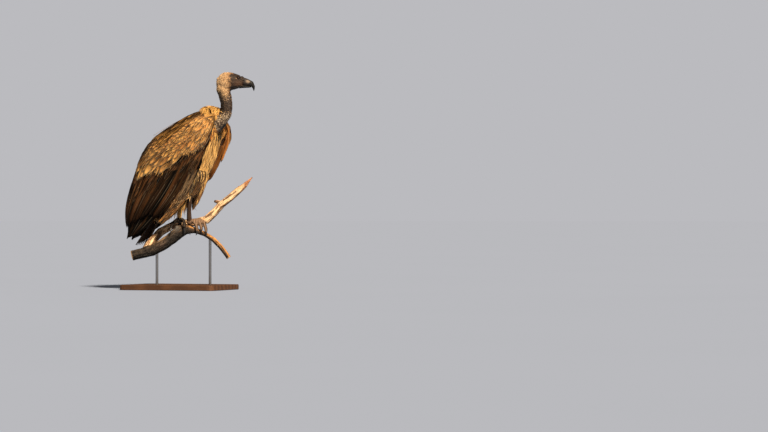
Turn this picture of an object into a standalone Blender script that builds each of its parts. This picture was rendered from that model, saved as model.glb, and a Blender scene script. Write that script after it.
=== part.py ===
"""White-backed vulture standing on a cut length of dead branch, life size, on a plain display stand.

Metres, +Z up, the bird facing +X with its left side at +Y. The origin is the centre of the base's underside.
Run with: blender --background --python part.py
"""

import math

import bmesh
import bpy
from mathutils import Matrix, Vector

GAP = 0.0004  # clearance between neighbouring solids
WELD = 0.00002  # points of a cut edge this close are one
SHARP_ANGLE = math.radians(50)

# Where the bird stands
BIRD_X = 0.035  # the feet, ahead of the base's centre
PERCH_Z = 0.250  # level from which heights on the bird are counted, about the perch's upper side
HEAD_TURN = math.radians(20)  # the head looks to the bird's left, and the perch runs that way too

# The folded wings and the trunk share one axis, from the wing tips up to the shoulders
AXIS_LEAN = math.radians(53.5)
AXIS_FOOT = (-0.215, -0.010)
WING_FROM, WING_TO = -0.05, 0.65
WING_STATIONS = (  # half depth to the back, half depth to the front, half width, at equal steps
    (0.040, 0.010, 0.056),
    (0.114, 0.056, 0.083),
    (0.152, 0.086, 0.109),
    (0.177, 0.100, 0.127),
    (0.180, 0.090, 0.136),
    (0.145, 0.068, 0.141),
    (0.100, 0.043, 0.134),
    (0.070, 0.002, 0.112),
)
WING_CENTRE = -0.02  # where the wing's section is widest, behind the axis
WING_FRONT_ANGLE = math.radians(45)
WING_BACK_ANGLE = math.radians(177)
SHOULDER_FROM, SHOULDER_TO = 0.520, 0.612  # the wing rounds off over this stretch
COVERT_FRONT, COVERT_BACK = 0.475, 0.125  # how far down the axis the coverts reach
SECONDARY_FRONT, SECONDARY_SLOPE = 0.165, 0.175
LEFT_LIFT, LEFT_FADE = 0.175, 4  # the left wing's front flight feathers end higher
SECONDARY_INSET = 0.02  # radians behind the coverts' front edge
PRIMARY_ANGLES = (math.radians(66), math.radians(138))
PRIMARY_ROOT, PRIMARY_TIP, PRIMARY_RISE = 0.150, -0.046, 0.050  # the front primaries end higher by the rise
COVERT_NOTCH, SECONDARY_NOTCH, PRIMARY_NOTCH = 0.010, 0.014, 0.020  # every other feather tip is shorter
COVERT_THICK, WRIST_THICK, FLIGHT_THICK = 0.014, 0.030, 0.009
WRIST_UP, WRIST_LENGTH, WRIST_SPREAD = 0.50, 0.10, 0.30  # where the coverts are thick over the wrist
SECONDARY_DROP, PRIMARY_DROP = 0.004, 0.0170  # each layer of flight feathers lies this much deeper

TRUNK_STATIONS = (  # distance up the axis, half width, half depth to the back and to the front
    (0.085, 0.028, 0.030, 0.014),
    (0.135, 0.058, 0.072, 0.026),
    (0.195, 0.084, 0.116, 0.046),
    (0.265, 0.104, 0.152, 0.078),
    (0.340, 0.114, 0.163, 0.096),
    (0.415, 0.118, 0.145, 0.090),
    (0.485, 0.110, 0.124, 0.074),
    (0.545, 0.086, 0.104, 0.042),
    (0.600, 0.052, 0.084, 0.012),
)

NECK_STATIONS = (  # ahead of the feet, height over the perch, half width, half depth
    (0.085, 0.425, 0.040, 0.046),
    (0.128, 0.447, 0.037, 0.037),
    (0.157, 0.470, 0.033, 0.031),
    (0.171, 0.492, 0.0280, 0.0265),
    (0.1765, 0.520, 0.0255, 0.0255),
    (0.1755, 0.548, 0.0250, 0.0260),
    (0.1690, 0.578, 0.0270, 0.0290),
    (0.1655, 0.606, 0.0285, 0.0310),
    (0.1650, 0.624, 0.0270, 0.0295),
)
NECK_CUT = 0.455  # share of the neck's length below the cut
RUFF_RADIUS, RUFF_REACH, RUFF_SIDE, RUFF_RISE, RUFF_TAPER = 0.044, 0.052, 0.074, 0.013, 0.48
RUFF_CENTRE, RUFF_TURN, RUFF_DEPTH = (0.150, 0.480), math.radians(82), 0.9

HEAD_CENTRE = (0.181, 0.638)
HEAD_STATIONS = (  # along the head, middle's height, half width, half height up and down
    (-0.0420, -0.012, 0.019, 0.024, 0.024),
    (-0.0260, -0.006, 0.0275, 0.0310, 0.0320),
    (-0.0060, -0.004, 0.0310, 0.0370, 0.0390),
    (0.0130, -0.004, 0.0310, 0.0394, 0.0400),
    (0.0300, -0.003, 0.0280, 0.0362, 0.0370),
    (0.0450, -0.002, 0.0240, 0.0305, 0.0325),
    (0.0590, -0.003, 0.0190, 0.0255, 0.0280),
    (0.0710, -0.004, 0.0150, 0.0215, 0.0245),
)
UPPER_BILL_STATIONS = (  # along the head, height, half width, half depth
    (0.0600, 0.0030, 0.0145, 0.0180),
    (0.0760, 0.0000, 0.0125, 0.0162),
    (0.0900, -0.0025, 0.0108, 0.0150),
    (0.1020, -0.0050, 0.0090, 0.0138),
    (0.1110, -0.0110, 0.0072, 0.0108),
    (0.1155, -0.0190, 0.0050, 0.0066),
    (0.1170, -0.0280, 0.0030, 0.0036),
    (0.1165, -0.0370, 0.0010, 0.0011),
)
LOWER_BILL_STATIONS = (
    (0.0540, -0.0235, 0.0140, 0.0080),
    (0.0700, -0.0215, 0.0120, 0.0068),
    (0.0850, -0.0200, 0.0098, 0.0056),
    (0.0980, -0.0195, 0.0074, 0.0044),
    (0.1060, -0.0195, 0.0040, 0.0022),
)
EYE_PLACE, EYE_SIDE, EYE_RADIUS = (0.0510, 0.0125), 0.0150, 0.0075

TAIL_ROOT, TAIL_TIP = (0.185, 0.012), (-0.050, 0.030)  # on the wings' axis: up it, and ahead of it
TAIL_HALF_ROOT, TAIL_HALF_TIP, TAIL_THICK, TAIL_ROOF = 0.024, 0.068, 0.009, 0.016
TAIL_FEATHERS, TAIL_ROUND, TAIL_NOTCH = 6, 0.022, 0.008

# The perch: along its line, height, radius
BRANCH_STATIONS = (
    (-0.235, -0.105, 0.0225),
    (-0.192, -0.094, 0.0230),
    (-0.149, -0.083, 0.0250),
    (-0.100, -0.056, 0.0260),
    (-0.071, -0.036, 0.0260),
    (-0.043, -0.013, 0.0265),
    (-0.016, 0.004, 0.0245),
    (0.012, 0.0075, 0.0185),
    (0.041, 0.001, 0.0130),
    (0.075, -0.0125, 0.0108),
    (0.112, -0.036, 0.0112),
    (0.146, -0.071, 0.0112),
    (0.178, -0.114, 0.0108),
)
KNOB_STATIONS = (  # the branch's broken knob under the left foot: along, behind, height, radius
    (-0.036, 0.004, -0.016, 0.0230),
    (-0.031, 0.005, 0.008, 0.0250),
    (-0.028, 0.006, 0.026, 0.0225),
)
KNOB_FLATNESS = 0.84
LIMB_STATIONS = (  # along the perch's line, behind it, height, radius
    (-0.178, 0.004, -0.082, 0.0165),
    (-0.152, 0.040, -0.042, 0.0165),
    (-0.112, 0.074, 0.000, 0.0170),
    (-0.050, 0.088, 0.031, 0.0160),
    (0.030, 0.084, 0.036, 0.0175),
    (0.070, 0.079, 0.044, 0.0190),
    (0.098, 0.074, 0.063, 0.0185),
    (0.124, 0.070, 0.094, 0.0155),
    (0.148, 0.066, 0.119, 0.0160),
    (0.180, 0.060, 0.141, 0.0145),
    (0.217, 0.052, 0.174, 0.0145),
    (0.239, 0.049, 0.192, 0.0115),
    (0.266, 0.045, 0.220, 0.0052),
    (0.277, 0.044, 0.231, 0.0030),
)
# The limb's broken twig: its tip, its root, how far behind it is, the root's radius, the tip's share of it
SPUR = ((0.111, 0.128), (0.144, 0.120), 0.066, 0.0110, 0.55)

# The legs: ahead of the feet's middle, to the left, height, radius
LEG_STATIONS = {
    "right": {
        "thigh": ((0.070, -0.050, 0.265, 0.052), (0.062, -0.052, 0.222, 0.044),
                  (0.048, -0.048, 0.182, 0.030), (0.033, -0.040, 0.148, 0.016)),
        "fringe": ((0.030, -0.046, 0.220, 0.034), (0.000, -0.044, 0.170, 0.024),
                   (-0.030, -0.036, 0.134, 0.016), (-0.054, -0.030, 0.102, 0.005)),
        "tarsus": ((0.034, -0.041, 0.164, 0.0090), (0.029, -0.038, 0.148, 0.0125),
                   (0.024, -0.030, 0.118, 0.0098), (0.016, -0.016, 0.082, 0.0094),
                   (0.012, -0.003, 0.045, 0.0112)),
    },
    "left": {
        "thigh": ((0.052, 0.050, 0.262, 0.050), (0.018, 0.052, 0.222, 0.044),
                  (-0.018, 0.044, 0.184, 0.030), (-0.048, 0.034, 0.150, 0.016)),
        "fringe": ((0.048, 0.040, 0.240, 0.040), (0.034, 0.038, 0.185, 0.029),
                   (0.024, 0.034, 0.138, 0.022), (0.014, 0.030, 0.090, 0.005)),
        "tarsus": ((-0.048, 0.036, 0.166, 0.0085), (-0.049, 0.033, 0.150, 0.0112),
                   (-0.048, 0.028, 0.118, 0.0084), (-0.044, 0.020, 0.084, 0.0080),
                   (-0.040, 0.008, 0.051, 0.0102)),
    },
}
# A foot's pad: along the perch, to its near side (the bird's right), height, half length
PADS = {"right": (0.014, 0.004, 0.0405, 0.018), "left": (-0.036, -0.016, 0.0470, 0.018)}
PAD_RADIUS = 0.0122
# Each toe's middle line, then its claw's from the toe's end: along the perch, to its near side, height
TOES = {
    "right": {
        "outer": (((0.016, 0.006, 0.043), (0.034, 0.017, 0.037), (0.042, 0.0205, 0.018),
                   (0.044, 0.0190, -0.001)),
                  ((0.042, 0.0160, -0.012), (0.037, 0.0070, -0.0185))),
        "middle": (((0.020, 0.000, 0.045), (0.047, 0.009, 0.043), (0.060, 0.0180, 0.024),
                    (0.062, 0.0165, 0.002)),
                   ((0.061, 0.0145, -0.010), (0.058, 0.0060, -0.0185))),
        "inner": (((0.022, -0.007, 0.045), (0.056, -0.002, 0.048), (0.073, 0.008, 0.036),
                   (0.081, 0.0165, 0.010), (0.082, 0.0160, -0.005)),
                  ((0.082, 0.0140, -0.017), (0.080, 0.0060, -0.0285))),
        "hind": (((0.008, -0.004, 0.042), (0.006, -0.021, 0.034), (0.009, -0.0300, 0.012)),
                 ((0.010, -0.0285, -0.004), (0.011, -0.020, -0.0175))),
    },
    "left": {
        "inner": (((-0.034, -0.012, 0.049), (-0.016, 0.006, 0.047), (-0.010, 0.026, 0.034),
                   (-0.009, 0.0345, 0.012)),
                  ((-0.009, 0.0345, -0.002), (-0.010, 0.0270, -0.0175))),
        "middle": (((-0.034, -0.018, 0.049), (-0.018, -0.030, 0.044), (-0.012, -0.0380, 0.026),
                    (-0.011, -0.036, 0.006)),
                   ((-0.011, -0.0330, -0.008), (-0.012, -0.0230, -0.0210))),
        "outer": (((-0.038, -0.020, 0.048), (-0.034, -0.038, 0.036), (-0.034, -0.0410, 0.014)),
                  ((-0.034, -0.0385, -0.002), (-0.035, -0.0300, -0.0185))),
        "hind": (((-0.044, -0.012, 0.046), (-0.060, 0.004, 0.033), (-0.066, 0.020, 0.018)),
                 ((-0.067, 0.0300, 0.006), (-0.068, 0.0335, -0.010))),
    },
}
TOE_RADII, CLAW_RADII = (0.0086, 0.0066), (0.0050, 0.0009)  # at the root and at the tip

# The stand
BASE_SIZE = (0.440, 0.300, 0.022)
BASE_CORNER, BASE_BEVEL = 0.030, 0.003
ROD_RADIUS = 0.006
ROD_PLACES = {"rear": (-0.128, -0.058), "front": (0.098, -0.026)}  # along the perch's line, top's height

COLOURS = {  # base colour, roughness, metallic
    "plumage_buff": ((0.50, 0.30, 0.12), 0.80, 0.0),
    "plumage_dark": ((0.045, 0.028, 0.018), 0.70, 0.0),
    "plumage_down": ((0.46, 0.36, 0.24), 0.85, 0.0),
    "skin_dark": ((0.060, 0.045, 0.040), 0.60, 0.0),
    "leg_skin": ((0.17, 0.13, 0.10), 0.65, 0.0),
    "horn": ((0.030, 0.028, 0.030), 0.35, 0.0),
    "eye": ((0.020, 0.010, 0.006), 0.10, 0.0),
    "bark": ((0.13, 0.085, 0.055), 0.90, 0.0),
    "bare_wood": ((0.60, 0.42, 0.27), 0.80, 0.0),
    "base_wood": ((0.090, 0.055, 0.035), 0.45, 0.0),
    "rod_steel": ((0.45, 0.45, 0.46), 0.30, 1.0),
}

materials = {}
collections = {}


def clear_scene():
    for thing in list(bpy.data.objects):
        bpy.data.objects.remove(thing)
    for name in ("white_backed_vulture", "cutters"):
        collections[name] = bpy.data.collections.new(name)
        bpy.context.scene.collection.children.link(collections[name])


def material(name):
    if name not in materials:
        colour, roughness, metallic = COLOURS[name]
        made = bpy.data.materials.new(name)
        made.use_nodes = True
        shader = made.node_tree.nodes["Principled BSDF"]
        shader.inputs["Base Color"].default_value = (*colour, 1)
        shader.inputs["Roughness"].default_value = roughness
        shader.inputs["Metallic"].default_value = metallic
        materials[name] = made
    return materials[name]


def add_object(name, mesh, finish, helper=False):
    """A helper, which cuts or joins another form, is kept out of the render, in a collection of its own."""
    made = bpy.data.objects.new(name, mesh)
    collections["cutters" if helper else "white_backed_vulture"].objects.link(made)
    if helper:
        made.hide_render = True
        made.display_type = "WIRE"
    else:
        mesh.materials.append(material(finish))
        mesh.shade_smooth()
        mesh.set_sharp_from_angle(angle=SHARP_ANGLE)
    return made


def finished_mesh(form, name, grow=0.0):
    """With grow, each face of the form moves out by that much."""
    bmesh.ops.triangulate(form, faces=form.faces)
    bmesh.ops.recalc_face_normals(form, faces=form.faces)
    form.normal_update()
    moves = [vertex.normal * grow * vertex.calc_shell_factor() for vertex in form.verts]
    for vertex, move in zip(form.verts, moves):
        vertex.co += move
    mesh = bpy.data.meshes.new(name)
    form.to_mesh(mesh)
    form.free()
    return mesh


# Places


AXIS_UP = Vector((math.cos(AXIS_LEAN), 0, math.sin(AXIS_LEAN)))
AXIS_AHEAD = Vector((math.sin(AXIS_LEAN), 0, -math.cos(AXIS_LEAN)))
LEFT = Vector((0, 1, 0))
UP = Vector((0, 0, 1))
PERCH_ALONG = Vector((math.cos(HEAD_TURN), math.sin(HEAD_TURN), 0))
PERCH_NEAR = Vector((math.sin(HEAD_TURN), -math.cos(HEAD_TURN), 0))


def place(ahead, height, left=0.0):
    """A point on the bird, from the middle of its feet and the perch's level."""
    return Vector((ahead + BIRD_X, left, height + PERCH_Z))


def on_axis(up, ahead, left=0.0):
    """A point given up the wings' axis, ahead of it and to the left."""
    return place(*AXIS_FOOT) + AXIS_UP * up + AXIS_AHEAD * ahead + LEFT * left


def on_head(along, height, left=0.0):
    return place(*HEAD_CENTRE) + Matrix.Rotation(HEAD_TURN, 3, "Z") @ Vector((along, left, height))


def on_perch(along, height, behind=0.0):
    return place(0, height) + PERCH_ALONG * along - PERCH_NEAR * behind


def spline(stations, share):
    """The stations' numbers at share, from 0 to 1, on a smooth curve through them all."""
    last = len(stations) - 1
    first = min(int(share * last), last - 1)
    f = share * last - first
    rows = (stations[min(max(first + step, 0), last)] for step in (-1, 0, 1, 2))
    return [
        0.5 * (2 * b + (c - a) * f + (2 * a - 5 * b + 4 * c - d) * f**2 + (3 * b - a - 3 * c + d) * f**3)
        for a, b, c, d in zip(*rows)
    ]


# Forms


def loft(name, finish, stations, side=LEFT, rings=12, around=14, span=(0, 1), domes=(0.12, 0.12),
         grow=0.0, helper=False):
    """A closed tube of oval sections. A station is a centre, the half width along side, and the half depth
    to the back and to the front. An end is rounded over its dome's share of the span, or flat where that
    is 0. With grow it is the cutter that leaves a gap round the same form."""
    shares = [0.5 - 0.5 * math.cos(math.pi * k / rings) for k in range(rings + 1)]
    form = bmesh.new()
    loops = []
    ends = []
    for share in shares:
        here = span[0] + (span[1] - span[0]) * share
        rows = [spline(stations, min(max(here + step, 0), 1)) for step in (-0.01, 0, 0.01)]
        along = (Vector(rows[2][:3]) - Vector(rows[0][:3])).normalized()
        across = (side - along * side.dot(along)).normalized()
        front = across.cross(along)
        centre = Vector(rows[1][:3])
        width, back, ahead = rows[1][3:]
        rounding = 1.0
        for dome, from_end in zip(domes, (share, 1 - share)):
            if dome and from_end < dome:
                rounding *= math.sqrt(max(1 - (1 - from_end / dome) ** 2, 0))
        if rounding == 0:
            ends.append(form.verts.new(centre))
            continue
        loop = []
        for k in range(around):
            turn = 2 * math.pi * k / around
            depth = ahead if math.cos(turn) > 0 else back
            out = across * width * math.sin(turn) + front * depth * math.cos(turn)
            loop.append(form.verts.new(centre + out * rounding))
        if share in (0, 1):
            ends.append(form.verts.new(centre))
        loops.append(loop)
    for lower, upper in zip(loops, loops[1:]):
        for k in range(around):
            form.faces.new((lower[k], lower[k - 1], upper[k - 1], upper[k]))
    for end, loop in zip(ends, (loops[0], loops[-1])):
        for k in range(around):
            form.faces.new((loop[k], loop[k - 1], end))
    return add_object(name, finished_mesh(form, name, grow), finish, helper or grow > 0)


def slab(name, finish, mapping, steps, grow=0.0):
    """A closed plate: a flat grid thickened by Solidify, each point then moved by mapping(a, b, c), where
    a and b run from 0 to 1 over the grid and c through its thickness."""
    form = bmesh.new()
    bmesh.ops.create_grid(form, x_segments=steps[0], y_segments=steps[1], size=0.5)
    flat = add_object(name + "_flat", finished_mesh(form, name + "_flat"), finish, helper=True)
    thick = flat.modifiers.new("thick", "SOLIDIFY")
    thick.thickness = 1.0
    thick.offset = -1.0
    made = evaluated_mesh(flat, name)
    bpy.data.objects.remove(flat)
    low, high = min(v.co.z for v in made.vertices), max(v.co.z for v in made.vertices)
    for vertex in made.vertices:
        a, b = vertex.co.x + 0.5, vertex.co.y + 0.5
        vertex.co = mapping(a, b, (high - vertex.co.z) / (high - low))
    form = bmesh.new()
    form.from_mesh(made)
    bpy.data.meshes.remove(made)
    return add_object(name, finished_mesh(form, name, grow), finish, grow > 0)


def evaluated_mesh(thing, name):
    bpy.context.view_layer.update()
    graph = bpy.context.evaluated_depsgraph_get()
    made = bpy.data.meshes.new_from_object(thing.evaluated_get(graph))
    made.name = name
    made.transform(thing.matrix_world)
    return made


def boolean(thing, cutters, operation="DIFFERENCE"):
    """Applies one Boolean for each cutter, and leaves a plain mesh without the crumbs of a cut."""
    for other in cutters:
        step = thing.modifiers.new(other.name, "BOOLEAN")
        step.operation = operation
        step.solver = "EXACT"
        step.object = other
    mesh = evaluated_mesh(thing, thing.name)
    form = bmesh.new()
    form.from_mesh(mesh)
    bmesh.ops.remove_doubles(form, verts=form.verts, dist=WELD)
    bodies = separate_bodies(form)
    largest = max(bodies, key=len)
    bmesh.ops.delete(form, geom=[v for body in bodies if body is not largest for v in body], context="VERTS")
    form.to_mesh(mesh)
    form.free()
    thing.modifiers.clear()
    thing.data = mesh
    return thing


def separate_bodies(form):
    waiting = set(form.verts)
    bodies = []
    while waiting:
        edge = [waiting.pop()]
        body = list(edge)
        while edge:
            near = {e.other_vert(v) for v in edge for e in v.link_edges} & waiting
            waiting -= near
            body += near
            edge = near
        bodies.append(body)
    return bodies


# The bird


def make_trunk(cut_by):
    stations = [(*on_axis(up, 0), width, back, ahead) for up, width, back, ahead in TRUNK_STATIONS]
    trunk = loft("trunk", "plumage_buff", stations, rings=11, around=16)
    return boolean(trunk, cut_by)


def wing_section(up, angle, depth, hand):
    """A point on a folded wing: up the axis, round the section from the breast at 0 to the back at 180
    degrees, and depth in from its outer surface."""
    share = (up - WING_FROM) / (WING_TO - WING_FROM)
    back, front, half = spline(WING_STATIONS, min(max(share, 0), 1))
    over = max(up - SHOULDER_FROM, 0) / (SHOULDER_TO - SHOULDER_FROM)
    dome = 0.40 + 0.60 * math.sqrt(max(1 - over**2, 0))
    if math.cos(angle) < 0:
        ahead = WING_CENTRE + (back + WING_CENTRE) * math.cos(angle)
        left = half * math.sin(angle) ** 0.75
    else:
        reach = (front - WING_CENTRE) / math.cos(WING_FRONT_ANGLE)
        ahead = WING_CENTRE + reach * math.cos(angle)
        left = half * math.sin(angle) ** 0.35
    out = Vector((ahead - WING_CENTRE, left)) * dome
    out *= max(1 - depth / out.length, 0.4)
    return on_axis(up, WING_CENTRE + out.x, hand * out.y)


def back_share(angle):
    return (angle - WING_FRONT_ANGLE) / (WING_BACK_ANGLE - WING_FRONT_ANGLE)


def covert_edge(angle):
    """How far down the axis the coverts reach: furthest at the back, least at the breast."""
    return COVERT_FRONT + (COVERT_BACK - COVERT_FRONT) * back_share(angle)


def flight_tip(angle, hand):
    """Where the flight feathers end. The left wing is folded tighter at the breast."""
    lift = LEFT_LIFT * (hand > 0) * (1 - back_share(angle)) ** LEFT_FADE
    return SECONDARY_FRONT - SECONDARY_SLOPE * min(back_share(angle) / 0.55, 1) ** 0.8 + lift


def wing_layers(hand, grow=0.0):
    """The three layers of one folded wing, on the left with hand 1 and on the right with hand -1."""
    side = "left" if hand > 0 else "right"
    rows = {"coverts": (9, 10), "secondaries": (4, 12), "primaries": (4, 8)}

    def coverts(a, b, c):
        angle = WING_FRONT_ANGLE + (WING_BACK_ANGLE - WING_FRONT_ANGLE) * b
        low = covert_edge(angle)
        notch = COVERT_NOTCH * (round(b * rows["coverts"][1]) % 2) * (1 - a) ** 3
        up = low + (SHOULDER_TO - low) * a + notch
        wrist = math.exp(-((b / WRIST_SPREAD) ** 2)) * math.exp(-(((up - WRIST_UP) / WRIST_LENGTH) ** 2))
        thick = COVERT_THICK + (WRIST_THICK - COVERT_THICK) * wrist
        return wing_section(up, angle, thick * c, hand)

    def secondaries(a, b, c):
        first = WING_FRONT_ANGLE + SECONDARY_INSET
        angle = first + (WING_BACK_ANGLE - first) * b
        high = covert_edge(angle) - 2 * GAP
        low = flight_tip(angle, hand) + SECONDARY_NOTCH * (round(b * rows["secondaries"][1]) % 2)
        return wing_section(low + (high - low) * a, angle, SECONDARY_DROP + FLIGHT_THICK * c, hand)

    def primaries(a, b, c):
        angle = PRIMARY_ANGLES[0] + (PRIMARY_ANGLES[1] - PRIMARY_ANGLES[0]) * b
        low = PRIMARY_TIP + PRIMARY_RISE * (1 - b) ** 2
        low += PRIMARY_NOTCH * (round(b * rows["primaries"][1]) % 2)
        return wing_section(low + (PRIMARY_ROOT - low) * a, angle, PRIMARY_DROP + FLIGHT_THICK * c, hand)

    mappings = {"coverts": coverts, "secondaries": secondaries, "primaries": primaries}
    finishes = {"coverts": "plumage_buff", "secondaries": "plumage_dark", "primaries": "plumage_dark"}
    made = {}
    for layer, mapping in mappings.items():
        name = f"wing_{side}_{layer}" + ("_cutter" if grow else "")
        made[layer] = slab(name, finishes[layer], mapping, rows[layer], grow)
    return made


def make_tail(cut_by, grow=0.0):
    columns = 2 * TAIL_FEATHERS

    def fan(a, b, c):
        across = 2 * b - 1
        half = TAIL_HALF_ROOT + (TAIL_HALF_TIP - TAIL_HALF_ROOT) * a**0.8
        tip_up = TAIL_TIP[0] + TAIL_ROUND * across**2 + TAIL_NOTCH * ((round(b * columns) + 1) % 2)
        up = TAIL_ROOT[0] + (tip_up - TAIL_ROOT[0]) * a
        ahead = TAIL_ROOT[1] + (TAIL_TIP[1] - TAIL_ROOT[1]) * a + TAIL_ROOF * across**2 * a
        return on_axis(up, ahead + TAIL_THICK * (c - 0.5), across * half)

    name = "tail" + ("_cutter" if grow else "")
    tail = slab(name, "plumage_dark", fan, (4, columns), grow)
    return boolean(tail, cut_by) if cut_by else tail


def neck_length(name, which, grow=0.0):
    """The lower or the upper length of the neck, which meet at a thin cut half way up."""
    stations = [(*place(ahead, height), half, depth, depth) for ahead, height, half, depth in NECK_STATIONS]
    span, domes = {"lower": ((0, NECK_CUT), (0.2, 0)), "upper": ((NECK_CUT + 0.002, 1), (0, 0))}[which]
    return loft(name, "skin_dark", stations, rings=6, around=12, span=span, domes=domes, grow=grow)


def make_neck(head_cutter):
    """Returns the cutters for what lies against the neck."""
    neck_length("neck_lower", "lower")
    boolean(neck_length("neck_upper", "upper"), [head_cutter])
    return [neck_length(f"neck_{which}_cutter", which, GAP) for which in ("lower", "upper")]


def ruff_loft(name, grow=0.0):
    """A thick roll of loose feathers that lies round the back of the neck's foot, open at the throat."""
    stations = []
    for k in range(-3, 4):
        turn = RUFF_TURN * k / 3
        radius = RUFF_RADIUS * (1 - RUFF_TAPER * (k / 3) ** 2)
        ahead = RUFF_CENTRE[0] - RUFF_REACH * math.cos(turn)
        height = RUFF_CENTRE[1] + RUFF_RISE * math.cos(turn)
        depth = radius * RUFF_DEPTH
        stations.append((*place(ahead, height, RUFF_SIDE * math.sin(turn)), radius, depth, depth))
    return loft(name, "plumage_buff", stations, side=UP, rings=10, around=10, domes=(0.15, 0.15), grow=grow)


def head_loft(name, grow=0.0):
    side = Matrix.Rotation(HEAD_TURN, 3, "Z") @ LEFT
    stations = [(*on_head(x, z), width, up, down) for x, z, width, up, down in HEAD_STATIONS]
    return loft(name, "skin_dark", stations, side=side, rings=11, around=14, domes=(0.24, 0), grow=grow)


def bill_loft(name, stations, domes, grow=0.0):
    side = Matrix.Rotation(HEAD_TURN, 3, "Z") @ LEFT
    rows = [(*on_head(x, z), width, depth, depth) for x, z, width, depth in stations]
    return loft(name, "horn", rows, side=side, rings=8, around=10, domes=domes, grow=grow)


def eye_ball(name, hand, grow=0.0):
    form = bmesh.new()
    bmesh.ops.create_uvsphere(form, u_segments=10, v_segments=6, radius=EYE_RADIUS)
    bmesh.ops.translate(form, verts=form.verts, vec=on_head(*EYE_PLACE, hand * EYE_SIDE))
    return add_object(name, finished_mesh(form, name, grow), "eye", grow > 0)


def make_head():
    upper_cutter = bill_loft("bill_upper_cutter", UPPER_BILL_STATIONS, (0, 0.1), GAP)
    lower_cutter = bill_loft("bill_lower_cutter", LOWER_BILL_STATIONS, (0, 0.25), GAP)
    eye_cutters = [eye_ball("eye_cutter", hand, GAP) for hand in (1, -1)]
    boolean(head_loft("head"), [upper_cutter, lower_cutter, *eye_cutters])
    bill_loft("bill_upper", UPPER_BILL_STATIONS, (0, 0.1))
    boolean(bill_loft("bill_lower", LOWER_BILL_STATIONS, (0, 0.25)), [upper_cutter])
    eye_ball("eye_left", 1)
    eye_ball("eye_right", -1)


def leg_loft(name, finish, stations, domes, **how):
    rows = [(*place(ahead, height, left), r, r, r) for ahead, left, height, r in stations]
    return loft(name, finish, rows, rings=6, around=10, domes=domes, **how)


def make_leg(side, perch_cutters, wing_cutters):
    """The feathered thigh with its fringe, the bare tarsus, and the foot. Returns the thigh's cutters."""
    parts = LEG_STATIONS[side]
    feathers = {"finish": "plumage_down", "domes": (0.15, 0.10)}
    tarsus = {"finish": "leg_skin", "stations": parts["tarsus"], "domes": (0.1, 0)}
    tarsus_cutter = leg_loft(f"tarsus_{side}_cutter", grow=GAP, **tarsus)
    thigh = leg_loft(f"thigh_{side}", stations=parts["thigh"], **feathers)
    fringe = leg_loft(f"fringe_{side}", stations=parts["fringe"], helper=True, **feathers)
    boolean(thigh, [fringe], "UNION")
    boolean(thigh, [tarsus_cutter, *wing_cutters])
    make_foot(side, [tarsus_cutter, *perch_cutters])
    boolean(leg_loft(f"tarsus_{side}", **tarsus), perch_cutters)
    return [tarsus_cutter] + [
        leg_loft(f"{kind}_{side}_cutter", stations=parts[kind], grow=GAP, **feathers)
        for kind in ("thigh", "fringe")
    ]


def make_foot(side, cutters):
    """A pad under the tarsus, four toes draped over the perch, and their claws."""
    along, near, height, half_length = PADS[side]
    steps = (-1, -0.35, 0.35, 1)
    pad_rows = [
        (*on_perch(along + half_length * step, height, -near), PAD_RADIUS, PAD_RADIUS, PAD_RADIUS * 0.8)
        for step in steps
    ]
    pad = {"finish": "leg_skin", "stations": pad_rows, "side": PERCH_NEAR, "rings": 5, "around": 10,
           "domes": (0.4, 0.4)}
    boolean(loft(f"foot_{side}", **pad), cutters)
    taken = [loft(f"foot_{side}_cutter", grow=GAP, **pad), *cutters]
    for toe, (toe_line, claw_line) in TOES[side].items():
        toe_form = digit(toe_line, *TOE_RADII, finish="leg_skin", rings=6, around=8, domes=(0.12, 0.12))
        claw_line = (toe_line[-1], *claw_line)
        claw_form = digit(claw_line, *CLAW_RADII, finish="horn", rings=5, around=6, domes=(0, 0.06))
        claw_cutter = loft(f"claw_{side}_{toe}_cutter", grow=GAP, **claw_form)
        boolean(loft(f"toe_{side}_{toe}", **toe_form), [*taken, claw_cutter])
        boolean(loft(f"claw_{side}_{toe}", **claw_form), taken)
        taken = [loft(f"toe_{side}_{toe}_cutter", grow=GAP, **toe_form), claw_cutter, *taken]


def digit(line, root, tip, **how):
    """What loft needs for a toe or a claw along a line of perch points."""
    points = [on_perch(along, height, -near) for along, near, height in line]
    rows = []
    for k, point in enumerate(points):
        radius = root + (tip - root) * k / (len(points) - 1)
        rows.append((*point, radius, radius, radius))
    side = UP.cross(points[-1] - points[0]).normalized()
    return {"stations": rows, "side": side, **how}


# The perch and the stand


def branch_loft(name, grow=0.0):
    rows = [(*on_perch(along, height), r, r, r) for along, height, r in BRANCH_STATIONS]
    branch = loft(name, "bark", rows, side=PERCH_NEAR, rings=15, around=11, domes=(0, 0), grow=grow)
    rows = [(*on_perch(along, height, behind), r * KNOB_FLATNESS, r, r)
            for along, behind, height, r in KNOB_STATIONS]
    knob = loft("knob", "bark", rows, side=PERCH_NEAR, rings=3, around=8, domes=(0, 0.25), grow=grow,
                helper=True)
    return boolean(branch, [knob], "UNION")


def make_limb(cut_by):
    rows = []
    for along, behind, height, radius in LIMB_STATIONS:
        rows.append((*on_perch(along, height, behind), radius * 1.1, radius * 0.95, radius))
    limb = loft("perch_limb", "bare_wood", rows, side=PERCH_NEAR, rings=16, around=9, domes=(0, 0.06))
    tip, root, behind, radius, share = SPUR
    twig_rows = [(*on_perch(*point, behind), r, r, r) for point, r in ((root, radius), (tip, radius * share))]
    twig = loft("spur", "bare_wood", twig_rows, PERCH_NEAR, rings=2, around=6, domes=(0, 0), helper=True)
    boolean(limb, [twig], "UNION")
    return boolean(limb, cut_by)


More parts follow.
